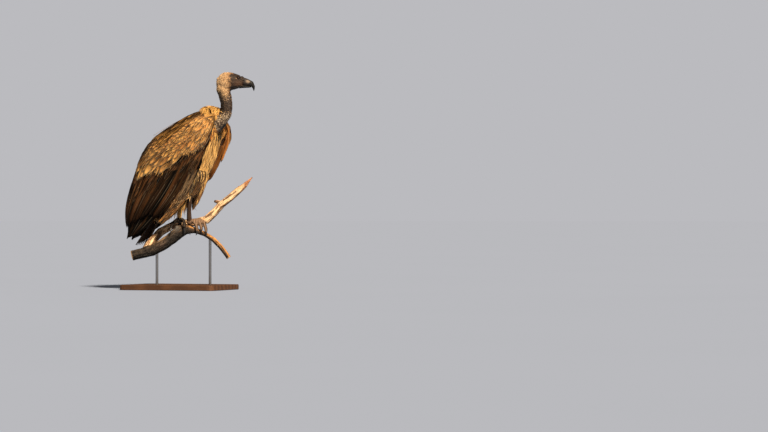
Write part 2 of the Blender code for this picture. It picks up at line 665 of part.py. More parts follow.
def make_stand(branch_cutter):
    form = bmesh.new()
    bmesh.ops.create_cube(form, size=1.0)
    bmesh.ops.scale(form, verts=form.verts, vec=BASE_SIZE)
    bmesh.ops.translate(form, verts=form.verts, vec=(0, 0, BASE_SIZE[2] / 2))
    upright = [e for e in form.edges if abs(e.verts[0].co.z - e.verts[1].co.z) > BASE_SIZE[2] / 2]
    bmesh.ops.bevel(form, geom=upright, offset=BASE_CORNER, segments=4, affect="EDGES", profile=0.5)
    base = add_object("stand_base", finished_mesh(form, "stand_base"), "base_wood")
    edge = base.modifiers.new("edge", "BEVEL")
    edge.width = BASE_BEVEL
    edge.segments = 1
    edge.limit_method = "ANGLE"
    edge.angle_limit = math.radians(60)
    for name, (along, height) in ROD_PLACES.items():
        foot, top = BASE_SIZE[2] + GAP, height + PERCH_Z
        centre = on_perch(along, 0)
        form = bmesh.new()
        bmesh.ops.create_cone(form, cap_ends=True, segments=12, radius1=ROD_RADIUS, radius2=ROD_RADIUS,
                              depth=top - foot)
        bmesh.ops.translate(form, verts=form.verts, vec=(centre.x, centre.y, (top + foot) / 2))
        rod = add_object(f"stand_rod_{name}", finished_mesh(form, f"stand_rod_{name}"), "rod_steel")
        boolean(rod, [branch_cutter])


def main():
    clear_scene()
    branch_loft("perch_branch")
    branch_cutter = branch_loft("perch_branch_cutter", GAP)
    make_limb([branch_cutter])
    make_stand(branch_cutter)

    make_head()
    neck_cutters = make_neck(head_loft("head_cutter", GAP))
    ruff_cutter = ruff_loft("ruff_cutter", GAP)

    wing_cutters = []
    for hand in (1, -1):
        wing_layers(hand)
        wing_cutters += list(wing_layers(hand, GAP).values())
    covert_cutters = [cutter for cutter in wing_cutters if "coverts" in cutter.name]
    boolean(ruff_loft("ruff"), [*neck_cutters, *covert_cutters])

    leg_cutters = []
    for side, hand in (("right", -1), ("left", 1)):
        near_wing = [c for c in wing_cutters if side in c.name]
        leg_cutters += make_leg(side, [branch_cutter], near_wing)
    make_tail(wing_cutters)
    tail_cutter = make_tail([], GAP)
    make_trunk([ruff_cutter, *neck_cutters, tail_cutter, *leg_cutters, *wing_cutters])


main()
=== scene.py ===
import math

import bmesh
import bpy
import numpy as np
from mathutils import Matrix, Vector
from mathutils import noise as clouds
from mathutils.bvhtree import BVHTree
from mathutils.kdtree import KDTree


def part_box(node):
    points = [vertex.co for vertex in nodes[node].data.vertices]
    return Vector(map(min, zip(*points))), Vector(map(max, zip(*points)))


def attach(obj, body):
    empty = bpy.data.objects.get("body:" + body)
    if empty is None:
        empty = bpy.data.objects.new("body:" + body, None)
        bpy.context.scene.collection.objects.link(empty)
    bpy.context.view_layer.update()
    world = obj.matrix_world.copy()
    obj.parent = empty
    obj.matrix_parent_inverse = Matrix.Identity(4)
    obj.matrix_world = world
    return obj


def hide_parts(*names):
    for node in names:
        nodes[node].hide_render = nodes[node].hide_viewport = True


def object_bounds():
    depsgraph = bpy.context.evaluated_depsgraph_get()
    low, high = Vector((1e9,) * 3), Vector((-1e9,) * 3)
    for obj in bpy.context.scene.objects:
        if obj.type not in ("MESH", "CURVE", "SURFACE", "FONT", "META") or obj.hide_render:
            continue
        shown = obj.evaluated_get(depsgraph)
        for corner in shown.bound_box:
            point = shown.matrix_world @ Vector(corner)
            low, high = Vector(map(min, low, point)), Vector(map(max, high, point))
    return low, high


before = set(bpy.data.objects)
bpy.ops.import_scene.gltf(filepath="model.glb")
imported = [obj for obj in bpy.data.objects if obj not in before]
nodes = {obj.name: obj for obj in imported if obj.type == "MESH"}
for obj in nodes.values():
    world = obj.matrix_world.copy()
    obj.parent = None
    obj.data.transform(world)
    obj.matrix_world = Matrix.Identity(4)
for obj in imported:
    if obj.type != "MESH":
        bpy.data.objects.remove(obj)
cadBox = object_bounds()
print("frame loaded")

# where the bird stands; the folded wings and the trunk share one leaning axis
bird = {
    "feet": (0.035, 0.0, 0.250),
    "lean": math.radians(53.5),
    "axisFoot": (-0.180, 0.0, 0.240),
    "head": (0.216, 0.0, 0.888),
    "turn": math.radians(20),  # the head and the perch are turned to the bird's left
}
feet = np.array(bird["feet"])
upright = np.array((0, 0, 1.0))
axisUp = np.array((math.cos(bird["lean"]), 0, math.sin(bird["lean"])))
axisAhead = np.array((math.sin(bird["lean"]), 0, -math.cos(bird["lean"])))
perchAlong = np.array((math.cos(bird["turn"]), math.sin(bird["turn"]), 0))
perchNear = np.array((math.sin(bird["turn"]), -math.cos(bird["turn"]), 0))
headSide = -perchNear
hands = {1: "Left", -1: "Right"}
finishes = {}


def lerp(a, b, t):
    return a + (b - a) * t


def smooth(low, high, x):
    t = np.clip((x - low) / (high - low), 0, 1)
    return t * t * (3 - 2 * t)


def bump(x, centre, width):
    return np.exp(-(((x - centre) / width) ** 2))


def clip01(values):
    return np.clip(values, 0, 1)


def speckle(places, scale, seed=0.0):
    return np.array([clouds.noise(Vector(place) * scale + Vector((seed, seed, seed))) for place in places])


def unit(vectors):
    return vectors / np.maximum(np.linalg.norm(vectors, axis=-1, keepdims=True), 1e-9)


def srgb(red, green, blue):
    # screen colour, 0 to 255, as the linear colour that shaders take
    c = np.array((red, green, blue)) / 255
    return np.where(c <= 0.04045, c / 12.92, ((c + 0.055) / 1.055) ** 2.4)


def painted(colour, *layers):
    # lays colours over a colour, each by its share; a plain number darkens what is there
    for share, over in layers:
        over = colour * over if np.ndim(over) == 0 else over
        colour = lerp(colour, over, np.reshape(share, (-1, 1)))
    return colour


def varied(rng, mean, spread, count):
    # a share for each of count feathers, scattered about the mean
    return clip01(rng.normal(mean, spread, count))


def perchPlace(along, near, up):
    # places from the feet: along the perch, towards the viewer, up
    return (feet + np.multiply.outer(along, perchAlong) + np.multiply.outer(near, perchNear)
            + np.multiply.outer(up, upright))


def fromPerch(places):
    # along the perch, and up from the feet
    out = places - feet
    return out @ perchAlong, out[:, 2]


# materials

class Wire:
    # an output socket in a node tree: sums on it add Math nodes
    def __init__(self, tree, socket):
        self.tree = tree
        self.socket = socket

    def put(self, kind, settings=None, sockets=None, out=0):
        node = self.tree.nodes.new(kind)
        for key, value in (settings or {}).items():
            setattr(node, key, value)
        for key, value in (sockets or {}).items():
            if isinstance(value, Wire):
                self.tree.links.new(value.socket, node.inputs[key])
            else:
                node.inputs[key].default_value = value
        return Wire(self.tree, node.outputs[out])

    def maths(self, operation, first, second=0.0):
        return self.put("ShaderNodeMath", {"operation": operation}, {0: first, 1: second})

    def __add__(self, other):
        return self.maths("ADD", self, other)

    def __sub__(self, other):
        return self.maths("SUBTRACT", self, other)

    def __rsub__(self, other):
        return self.maths("SUBTRACT", other, self)

    def __mul__(self, other):
        return self.maths("MULTIPLY", self, other)

    def __pow__(self, other):
        return self.maths("POWER", self, other)

    __radd__ = __add__
    __rmul__ = __mul__

    def sine(self):
        return self.maths("SINE", self)

    def away(self):
        return self.maths("ABSOLUTE", self)

    def between(self, low, high):
        # 0 below low, 1 above high, or the other way round where high is the lower
        return self.put("ShaderNodeMapRange", {"interpolation_type": "SMOOTHSTEP"},
                        {"Value": self, "From Min": low, "From Max": high})

    def stretched(self, stretch):
        return self.put("ShaderNodeVectorMath", {"operation": "MULTIPLY"}, {0: self, 1: stretch})

    def noise(self, scale, detail=3.0, roughness=0.55, stretch=(1, 1, 1)):
        return self.put("ShaderNodeTexNoise", None, {"Vector": self.stretched(stretch), "Scale": scale,
                                                     "Detail": detail, "Roughness": roughness})

    def cells(self, scale, feature="DISTANCE_TO_EDGE"):
        return self.put("ShaderNodeTexVoronoi", {"feature": feature}, {"Vector": self, "Scale": scale})

    def tinted(self, other, share, blend="MIX"):
        # this colour, with the other laid over it by share
        sockets = {0: share, 6: self, 7: other if isinstance(other, Wire) else (*other, 1)}
        return self.put("ShaderNodeMix", {"data_type": "RGBA", "blend_type": blend}, sockets, 2)

    def shaded(self, other, share):
        return self.tinted(other, share, "MULTIPLY")

    def part(self, axis):
        return self.put("ShaderNodeSeparateXYZ", None, {0: self}, axis)


def newFinish(name, build, **fixed):
    # build(start) gives the sockets that vary over the surface; fixed ones are plain numbers
    finish = bpy.data.materials.new(name)
    finish.use_nodes = True
    tree = finish.node_tree
    shader = tree.nodes["Principled BSDF"]
    for key, value in fixed.items():
        shader.inputs[key.replace("_", " ")].default_value = value
    for key, value in build(Wire(tree, None)).items():
        if key == "height":
            key = "Normal"
            sockets = {"Height": value[0], "Distance": value[1], "Strength": 1.0}
            value = value[0].put("ShaderNodeBump", None, sockets)
        tree.links.new(value.socket, shader.inputs[key])
    return finish


def objectPlace(start):
    return start.put("ShaderNodeTexCoord", None, None, 3)


def attribute(start, name, out=0):
    return start.put("ShaderNodeAttribute", {"attribute_name": name}, None, out)


def plainColour(start, colour):
    return start.put("ShaderNodeMix", {"data_type": "RGBA"}, {0: 0.0, 6: (*colour, 1), 7: (*colour, 1)}, 2)


def featherFinish(name, streak, fringe, rough=0.72, barbs=0.35, rootShade=0.0, tipDarkAndShade=0.0,
                  rimColour=(1.0, 0.80, 0.50), gloss=0.14):
    # streak darkens the vane along its shaft and fringe lightens its rim; the root is darkened as painted
    # shade where the row above lies over it, and the tip is darkened, partly its own dark colour and partly
    # painted shade
    def build(start):
        vane = start.put("ShaderNodeUVMap", {"uv_map": "vane"})
        across = (vane.part(0) * 2 - 1).away()
        along = vane.part(1)
        chance = attribute(start, "tint", 3)
        cloud = vane.put("ShaderNodeTexNoise", {"noise_dimensions": "4D"},
                         {"Vector": vane, "W": chance * 40, "Scale": 3.5, "Detail": 4.0})
        strands = ((along * 70 - across * 16 + cloud * 9).sine() * 0.5) + 0.5
        shaft = across.between(0.10, 0.02)
        centre = across.between(0.80, 0.05) * (cloud.between(0.25, 0.62)) * along.between(1.0, 0.55)
        rim = across.between(0.55, 0.98) + along.between(0.84, 1.0)
        base = attribute(start, "tint")
        colour = base.tinted(base.shaded((0.26, 0.19, 0.14), 1.0), centre * streak)
        colour = colour.tinted(base.tinted(rimColour, fringe), rim.between(0.0, 1.0) * 0.8)
        colour = colour.shaded((0.28, 0.24, 0.20), strands * barbs)
        colour = colour.tinted((0.5, 0.40, 0.28), shaft * 0.25)
        # painted shade on the root, where the row above lies over it
        colour = colour.shaded((0.10, 0.08, 0.07), along.between(0.78, 0.42) * rootShade)
        # the tip darkened: partly the feather's own dark colour, partly painted shade
        colour = colour.shaded((0.16, 0.13, 0.12), along.between(0.55, 0.97) * tipDarkAndShade)
        return {"Base Color": colour, "Roughness": strands * 0.15 + rough,
                "height": (strands * 0.4 + shaft * 0.8 + cloud * 0.6, 0.0005)}
    return newFinish(name, build, Specular_IOR_Level=gloss)


# shapes

def keep(piece, finish, replaced=()):
    # dresses a finished piece and hands it to the frame
    piece.data.materials.clear()
    piece.data.materials.append(finishes[finish])
    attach(piece, "root")
    if replaced:
        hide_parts(*replaced)


def newObject(name, mesh):
    thing = bpy.data.objects.new(name, mesh)
    bpy.context.scene.collection.objects.link(thing)
    return thing


def evaluated(thing, name):
    # the thing's mesh with its modifiers applied; the thing itself goes
    bpy.context.view_layer.update()
    made = bpy.data.meshes.new_from_object(thing.evaluated_get(bpy.context.evaluated_depsgraph_get()))
    made.name = name
    bpy.data.objects.remove(thing)
    return made


def quadMesh(name, places, quads):
    mesh = bpy.data.meshes.new(name)
    mesh.vertices.add(len(places))
    setPoints(mesh, places)
    mesh.loops.add(quads.size)
    mesh.loops.foreach_set("vertex_index", np.ascontiguousarray(quads, np.int32).ravel())
    mesh.polygons.add(len(quads))
    mesh.polygons.foreach_set("loop_start", np.arange(0, quads.size, 4, dtype=np.int32))
    mesh.update(calc_edges=True)
    mesh.shade_smooth()
    return mesh


def read(items, key, width, kind=np.float32):
    found = np.empty(len(items) * width, kind)
    items.foreach_get(key, found)
    return found.reshape(-1, width)


def points(mesh):
    return read(mesh.vertices, "co", 3).astype(float)


def normals(mesh):
    return read(mesh.vertex_normals, "vector", 3).astype(float)


def setPoints(mesh, places):
    mesh.vertices.foreach_set("co", places.astype(np.float32).ravel())
    mesh.update()


def store(mesh, name, values):
    # one number, a vector or a colour with a fourth number, at each point
    kinds = {1: ("FLOAT", "value"), 3: ("FLOAT_VECTOR", "vector"), 4: ("FLOAT_COLOR", "color")}
    kind, key = kinds[np.reshape(values, (len(mesh.vertices), -1)).shape[1]]
    mesh.attributes.new(name, kind, "POINT").data.foreach_set(key, values.astype(np.float32).ravel())


def storeTint(mesh, colour, fourth=0.0):
    store(mesh, "tint", np.column_stack([colour, np.zeros(len(colour)) + fourth]))


def unwrapped(mesh, name, flat, corner):
    mesh.uv_layers.new(name=name).data.foreach_set("uv", flat[corner].astype(np.float32).ravel())


def blended(mesh, values, turns):
    # values averaged with their neighbours', along the mesh's edges
    a, b = read(mesh.edges, "vertices", 2, np.int32).T
    count = np.bincount(a, minlength=len(values)) + np.bincount(b, minlength=len(values))
    for _ in range(turns):
        total = np.bincount(a, values[b], len(values)) + np.bincount(b, values[a], len(values))
        values = 0.5 * values + 0.5 * total / np.maximum(count, 1)
    return values


def solidForm(names, swell):
    # the named solids in one mesh, each swollen so that they run into each other
    form = bmesh.new()
    for name in names:
        part = bmesh.new()
        part.from_mesh(nodes[name].data)
        bmesh.ops.remove_doubles(part, verts=part.verts, dist=0.00005)
        part.normal_update()
        for vertex, normal in [(v, v.normal.copy()) for v in part.verts]:
            vertex.co += normal * swell
        mesh = bpy.data.meshes.new("part")
        part.to_mesh(mesh)
        form.from_mesh(mesh)
        part.free()
        bpy.data.meshes.remove(mesh)
    mesh = bpy.data.meshes.new("form")
    form.to_mesh(mesh)
    form.free()
    return mesh


def fused(names, voxel, rounds, swell=0.0006):
    # one closed, even mesh of the named solids
    thing = newObject("fused", solidForm(names, swell))
    step = thing.modifiers.new("voxels", "REMESH")
    step.mode = "VOXEL"
    step.voxel_size = voxel
    soften = thing.modifiers.new("soften", "SMOOTH")
    soften.factor = 0.5
    soften.iterations = rounds
    return evaluated(thing, "fused")


def treeOf(mesh):
    return BVHTree.FromPolygons([v.co for v in mesh.vertices], [p.vertices for p in mesh.polygons])


def nearest(spots, places):
    # for each place, which of the spots lies nearest
    tree = KDTree(len(spots))
    for k, spot in enumerate(spots):
        tree.insert(spot, k)
    tree.balance()
    return np.array([tree.find(place)[1] for place in places])


def nearestPart(places, names):
    # for each place, which of the named solids lies nearest
    spots, owner = [], []
    for k, name in enumerate(names):
        faces = nodes[name].data.polygons
        spots += [face.center for face in faces]
        owner += [k] * len(faces)
    return np.array(owner)[nearest(spots, places)]


def spline(stations, share):
    # the stations' numbers at each share, 0 to 1, on a smooth curve through them all
    rows = np.array(stations, float)
    last = len(rows) - 1
    share = clip01(np.asarray(share, float)) * last
    first = np.minimum(share.astype(int), last - 1)
    f = (share - first)[..., None]
    a, b, c, d = (rows[np.clip(first + k, 0, last)] for k in (-1, 0, 1, 2))
    return 0.5 * (2 * b + (c - a) * f + (2 * a - 5 * b + 4 * c - d) * f**2 + (3 * b - a - 3 * c + d) * f**3)


def insideBox(places):
    # nothing reaches past the size of the whole model
    margin = 0.0003
    return np.clip(places, np.array(cadBox[0]) + margin, np.array(cadBox[1]) - margin)


bakePatch = 0.003  # how much of the unwrap each feather or tuft takes


def vanes(name, spine, outward, width, shape, tint, chance, root, thick=0.0007, cup=0.25, jag=0.3, seed=1,
          across=3):
    # closed thin feathers. spine and outward are (feather, ring, 3); shape is the half width's share at each
    # ring; the rim sinks by cup of the half width. root is where each grows on the skin's unwrap
    count, rings = spine.shape[:2]
    rng = np.random.default_rng(seed)
    along = unit(np.gradient(spine, axis=1))
    side = unit(np.cross(outward, along))
    face = unit(np.cross(along, side))
    shares = np.linspace(-1, 1, across)
    half = (width[:, None] * shape)[..., None]
    fray = 1 + jag * rng.uniform(-1, 1, (count, rings, across)) * (np.abs(shares) > 0.9)
    upper, lower = range(across), range(across - 2, 0, -1)
    loops = []
    for sign, columns in ((1, upper), (-1, lower)):
        for k in columns:
            s = shares[k]
            rise = thick * (1 - s * s) * sign * 0.5 - cup * s * s * half
            loops.append(spine + side * half * s * fray[:, :, k:k + 1] + face * rise)
    around = len(loops)
    total = rings * around
    ring = np.arange(rings - 1)[:, None] * around
    k = np.arange(around)
    following = (k + 1) % around
    quads = np.stack([ring + k, ring + following, ring + around + following, ring + around + k], -1)
    caps = []
    for base, turn in ((0, -1), (total - around, 1)):
        for j in range(1 if around == 4 else (around - 2) // 2):
            caps.append([base + c for c in (j, j + 1, around - 2 - j, around - 1 - j)][::turn])
    quads = np.concatenate([quads.reshape(-1, 4), np.array(caps)])
    quads = (quads[None] + (np.arange(count) * total)[:, None, None]).reshape(-1, 4)
    mesh = quadMesh(name, insideBox(np.stack(loops, axis=2).reshape(-1, 3)), quads)
    flat = np.empty((count, rings, around, 2))
    flat[..., 0] = 0.5 + 0.5 * shares[[*upper, *lower]]
    flat[..., 1] = np.linspace(0, 1, rings)[:, None]
    flat = flat.reshape(-1, 2)
    unwrapped(mesh, "vane", flat, quads.ravel())
    unwrapped(mesh, "OFBake", np.repeat(root, total, axis=0) + (flat - 0.5) * bakePatch, quads.ravel())
    storeTint(mesh, np.repeat(tint, total, axis=0), np.repeat(chance, total))
    return newObject(name, mesh)


# the folded wings' outer surface, as in the solids
wing = {
    "span": (-0.05, 0.65),  # up the axis
    "stations": ((0.040, 0.010, 0.056), (0.114, 0.056, 0.083), (0.152, 0.086, 0.109), (0.177, 0.100, 0.127),
                 (0.180, 0.090, 0.136), (0.145, 0.068, 0.141), (0.100, 0.043, 0.134), (0.070, 0.002, 0.112)),
    "centre": -0.02,
    "front": math.radians(45),
    "back": math.radians(177),
    "shoulder": (0.520, 0.612),
    "top": 0.611,  # the highest root of a feather
    "covertEdge": (0.475, 0.125),
}


def onAxis(up, ahead, left):
    side = np.array((0, 1.0, 0))
    return (np.array(bird["axisFoot"]) + np.multiply.outer(up, axisUp) + np.multiply.outer(ahead, axisAhead)
            + np.multiply.outer(left, side))


def wingPoint(up, angle, depth, hand):
    share = (up - wing["span"][0]) / (wing["span"][1] - wing["span"][0])
    back, front, half = np.moveaxis(spline(wing["stations"], share), -1, 0)
    over = np.maximum(up - wing["shoulder"][0], 0) / (wing["shoulder"][1] - wing["shoulder"][0])
    dome = 0.40 + 0.60 * np.sqrt(np.maximum(1 - over**2, 0))
    centre = wing["centre"]
    rear = np.cos(angle) < 0
    sine = np.maximum(np.sin(angle), 0)
    reach = (front - centre) / math.cos(wing["front"])
    ahead = np.where(rear, (back + centre) * np.cos(angle), reach * np.cos(angle)) * dome
    left = half * np.where(rear, sine**0.75, sine**0.35) * dome
    inset = np.maximum(1 - depth / np.hypot(ahead, left), 0.4)
    return onAxis(up, centre + ahead * inset, hand * left * inset)


def wingNormal(up, angle, hand):
    step, swing = 0.004, 0.02
    low = np.minimum(up, 0.585)
    turn = np.clip(angle, 0.05, math.pi - 0.06)
    rise = wingPoint(low + step, angle, 0.0, hand) - wingPoint(low - step, angle, 0.0, hand)
    sweep = wingPoint(low, turn + swing, 0.0, hand) - wingPoint(low, turn - swing, 0.0, hand)
    return unit(np.cross(rise, sweep) * hand)


def backShare(angle):
    return (angle - wing["front"]) / (wing["back"] - wing["front"])


def flightTip(angle, hand):
    share = clip01(backShare(angle))
    lift = 0.175 * (hand > 0) * (1 - share) ** 4  # the left wing is folded tighter at the breast
    return 0.165 - 0.175 * np.minimum(share / 0.55, 1) ** 0.8 + lift


def wingUnwrap(up, angle, hand):
    # each wing takes half of the unwrap, its length up the page
    across = 0.04 + 0.42 * np.clip(backShare(angle), -0.05, 1.05)
    return np.stack([across + 0.5 * (hand > 0), 0.06 + 1.3 * (up + 0.06)], -1)


def wingVanes(name, hand, rows, rings, shapeOf, thick, cup, jag, seed, across=3, sunk=0.005):
    # rows holds arrays up0, up1, angle0, angle1, depth0, depth1, width, roll, tint, chance
    t = np.linspace(0, 1, rings)
    up, angle, depth = (
        rows[key + "0"][:, None] + (rows[key + "1"] - rows[key + "0"])[:, None] * step
        for key, step in (("up", t), ("angle", t), ("depth", t**0.8)))
    lobe = (hand > 0) * smooth(0.18, 0.03, backShare(rows["angle1"]))
    depth = depth + (lobe * sunk)[:, None]
    spine = wingPoint(np.minimum(up, wing["top"] + 0.0005), angle, depth, hand)
    outward = wingNormal(up, angle, hand)
    side = unit(np.cross(outward, unit(np.gradient(spine, axis=1))))
    outward = outward + side * rows["roll"][:, None, None] + perchNear * (0.9 * lobe)[:, None, None]
    root = wingUnwrap(rows["up0"], rows["angle0"], hand)
    return vanes(name, spine, outward, rows["width"], shapeOf(t), rows["tint"], rows["chance"], root, thick,
                 cup, jag, seed, across)


def bladeShape(point, broad=0.45):
    # a feather's outline: quick to its full width, then round or pointed at the tip
    def shape(t):
        rise = clip01(t / broad) ** 0.55
        fall = clip01((1 - t) / (1 - broad)) ** point
        return np.maximum(0.06, rise * fall)
    return shape


# feathers that follow the body

def scatter(mesh, spacing, wanted, seed):
    # places at least spacing apart on the faces where wanted(centres) is true
    centres = read(mesh.polygons, "center", 3, float)
    facing = read(mesh.polygons, "normal", 3, float)
    area = read(mesh.polygons, "area", 1, float)[:, 0] * wanted(centres)
    rng = np.random.default_rng(seed)
    tries = int(area.sum() / spacing**2 * 5)
    chosen = rng.choice(len(centres), tries, p=area / area.sum())
    loose = unit(np.cross(facing[chosen], rng.normal(size=(tries, 3))))
    places = centres[chosen] + loose * (np.sqrt(area[chosen]) * rng.uniform(0, 0.6, tries))[:, None]
    shifts = [(x, y, z) for x in (-1, 0, 1) for y in (-1, 0, 1) for z in (-1, 0, 1)]
    taken, kept = {}, []
    for k, place in enumerate(places):
        cell = tuple((place // spacing).astype(int))
        cells = [(cell[0] + x, cell[1] + y, cell[2] + z) for x, y, z in shifts]
        if all(np.sum((place - taken[other]) ** 2) > spacing**2 for other in cells if other in taken):
            taken[cell] = place
            kept.append(k)
    return places[kept]


def follow(tree, starts, heading, length, rings, loose=0.0):
    # walks from each start over the surface along its heading; past an edge it flies straight on.
    # loose, from 0 to 1, lets the far half stand off in place of bending with the body
    spine = np.empty((len(starts), rings, 3))
    outward = np.empty((len(starts), rings, 3))
    for i, start in enumerate(starts):
        place, normal = tree.find_nearest(start)[:2]
        step = length[i] / (rings - 1)
        way = Vector(heading[i])
        for k in range(rings):
            spine[i, k] = place
            outward[i, k] = normal
            way = (way - normal * way.dot(normal) * (1 - loose * k / rings)).normalized()
            ahead = place + way * step
            found, turned = tree.find_nearest(ahead)[:2]
            if turned.dot(normal) < 0.3 or (found - ahead).length > 0.6 * step:
                place = ahead
            else:
                place = found.lerp(ahead, loose * k / rings)
                normal = (normal * 0.5 + turned * 0.5).normalized()
    return spine, outward


def axisPlace(places):
    # up the leaning axis, ahead of it, to its left, and the turn about the wings' centre
    out = places - onAxis(0.0, 0.0, 0.0)
    ahead = out @ axisAhead
    return out @ axisUp, ahead, out[:, 1], np.arctan2(np.abs(out[:, 1]), ahead - wing["centre"])


def bodyUnwrap(places):
    # the body unrolled about the leaning axis
    up, ahead, left, _ = axisPlace(places)
    turn = np.arctan2(left, ahead - wing["centre"])
    return np.stack([0.5 + 0.47 * turn / math.pi, 0.08 + 1.15 * up], -1)


def bodyVanes(name, style, starts, heading, tints, seed, scale=1.0):
    # one coat of feathers over a part of the body, its sizes in style
    rng = np.random.default_rng(seed)
    count = len(starts)
    length = style["length"] * rng.uniform(0.75, 1.2, count) * scale
    heading = unit(heading) + rng.normal(0, style["stray"], (count, 3))
    spine, outward = follow(bodyTree, starts, heading, length, style["rings"], style["loose"])
    t = np.linspace(0, 1, style["rings"])
    tipDepth = style["tipDepth"] + rng.uniform(-1, 1, count)[:, None] * 0.0008
    spine = spine - outward * lerp(style["rootDepth"], tipDepth, t**0.7)[..., None]
    wave = np.sin(t * rng.uniform(2, 5, count)[:, None] + rng.uniform(0, 6, count)[:, None]) * t
    side = unit(np.cross(outward, np.gradient(spine, axis=1)))
    spine = spine + side * (wave * style["wave"])[..., None]
    outward = outward + side * rng.normal(0, style["roll"], count)[:, None, None]
    width = style["width"] * rng.uniform(0.75, 1.25, count)
    return vanes(name, spine, outward, width, bladeShape(style["point"], style["broad"])(t), tints,
                 rng.uniform(0, 1, count), bodyUnwrap(starts), style["thick"], style["cup"], style["jag"],
                 seed)


# the camera, the stage and the light
look = {
    "right": 0.838, "height": 0.314, "away": 12.0, "lens": 132.2,
    "backdrop": srgb(187, 187, 191),
    "fill": np.array((0.185, 0.165, 0.140)),  # the soft light from all round
    "sun": 7.4, "sunColour": np.array((1.05, 0.88, 0.65)), "sunSize": 0.12,
    "sunFrom": (0.46, 1.05, 0.90),  # to the right, towards the viewer, up
    "floor": 150,
}


def makeCamera():
    camera = bpy.data.cameras.new("camera")
    camera.lens = look["lens"]
    camera.sensor_width = 36
    camera.clip_end = 300
    thing = newObject("camera", camera)
    thing.location = perchPlace(look["right"], look["away"], look["height"] - feet[2])
    thing.rotation_euler = (math.pi / 2, 0, bird["turn"])
    bpy.context.scene.camera = thing


def makeStage():
    right, near, up = look["sunFrom"]
    sunFrom = Vector(perchPlace(right, near, up) - feet).normalized()
    sun = bpy.data.lights.new("sun", "SUN")
    sun.energy = look["sun"]
    sun.angle = look["sunSize"]
    sun.color = look["sunColour"]
    newObject("sun", sun).rotation_euler = sunFrom.to_track_quat("Z", "Y").to_euler()
    world = bpy.data.worlds.new("studio")
    world.use_nodes = True
    background = world.node_tree.nodes["Background"]
    seen = Wire(world.node_tree, None).put("ShaderNodeLightPath")
    shown = plainColour(seen, look["fill"]).tinted(look["backdrop"], seen)
    world.node_tree.links.new(shown.socket, background.inputs["Color"])
    bpy.context.scene.world = world
    # the floor's grey is what makes it as light as the backdrop under this sun
    grey = look["backdrop"] / (look["fill"] + look["sun"] * look["sunColour"] * sunFrom.z / math.pi)

    def build(start):
        return {"Base Color": plainColour(start, grey).tinted(grey * 0.97, objectPlace(start).noise(0.6))}
    corners = np.array([(-1, -1, 0), (1, -1, 0), (1, 1, 0), (-1, 1, 0)], float) * look["floor"]
    floor = quadMesh("floor", corners, np.array([(0, 1, 2, 3)]))
    floor.materials.append(newFinish("paleFloor", build, Roughness=1.0, Specular_IOR_Level=0.0))
    newObject("floor", floor)
    bpy.context.scene.view_settings.view_transform = "Standard"


makeCamera()
makeStage()
print("camera and stage made")

# the wings' feathers
plumes = {
    "covert": srgb(222, 152, 78),
    "covertLight": srgb(252, 192, 108),
    "covertDeep": srgb(156, 98, 46),
    "brown": srgb(126, 80, 43),
    "umber": srgb(52, 32, 20),
    "flight": srgb(104, 66, 36),
    "black": srgb(11, 8, 6),
    "straw": srgb(252, 200, 120),
    "gold": srgb(255, 196, 104),
    "down": srgb(214, 190, 156),
    "litOrange": srgb(222, 146, 64),
}
coverts = {
    # where the golden coverts end, from the wing's front to its back: share of the way round, up the axis
    "edge": ((0.0, 0.13, 0.27, 0.36, 0.49, 0.60, 0.68, 0.80, 0.90, 1.0),
             (0.500, 0.455, 0.420, 0.300, 0.262, 0.225, 0.202, 0.225, 0.290, 0.360)),
    "length": (0.105, 0.034), "width": (0.0165, 0.0078), "shrink": 0.88, "ragged": 0.012, "high": 0.600,
    "wisps": 2200, "wispLength": 0.045, "wispWidth": 0.0019,
    "brownRows": (-0.030, -0.060, -0.092, -0.126, -0.162), "brownLength": 0.135, "brownWidth": 0.0130,
}
rowKeys = ("up1", "up0", "angle1", "angle0", "depth0", "depth1", "width", "roll")


def goldEdge(angle):
    return np.interp(backShare(angle), *coverts["edge"])


def wingPatches(up, angle, hand):
    # how light the plumage is at a place on the wing, from drifting clouds, and the share of the way round
    at = np.stack([angle * 0.13, up * 0.8, np.full(len(up), 0.3 * hand)], -1)
    return speckle(at, 22) * 0.8 + speckle(at, 60, 4) * 0.6, clip01(backShare(angle))


def covertTints(up, angle, hand, rng):
    cloud, share = wingPatches(up, angle, hand)
    above = up - goldEdge(angle)
    back = smooth(0.70, 0.86, share)
    light = clip01(0.30 + 0.9 * cloud + rng.normal(0, 0.42, len(up))
                   + 0.55 * bump(share, 0.50, 0.24) * smooth(0.20, 0.02, above)
                   + 0.35 * bump(share, 0.05, 0.12) * smooth(0.5, 0.56, up))
    deep = clip01(0.20 - 0.9 * cloud + rng.normal(0, 0.38, len(up)) + 1.1 * back
                  + 0.5 * smooth(0.30, 0.10, share) * smooth(0.10, 0.0, above))
    # the far (left) wing's front lobe is painted orange and kept from darkening: painted light, as if the
    # sun lit it
    lobe = (hand > 0) * smooth(0.40, 0.20, share)
    dark = painted(plumes["covertDeep"], (smooth(0.75, 1.1, deep * (1 - 0.7 * lobe)), plumes["umber"]))
    return painted(plumes["covert"], (light * (1 - 0.8 * back) * (1 - lobe), plumes["covertLight"]),
                   (0.85 * lobe, plumes["litOrange"]), (deep * (1 - 0.7 * lobe), dark))


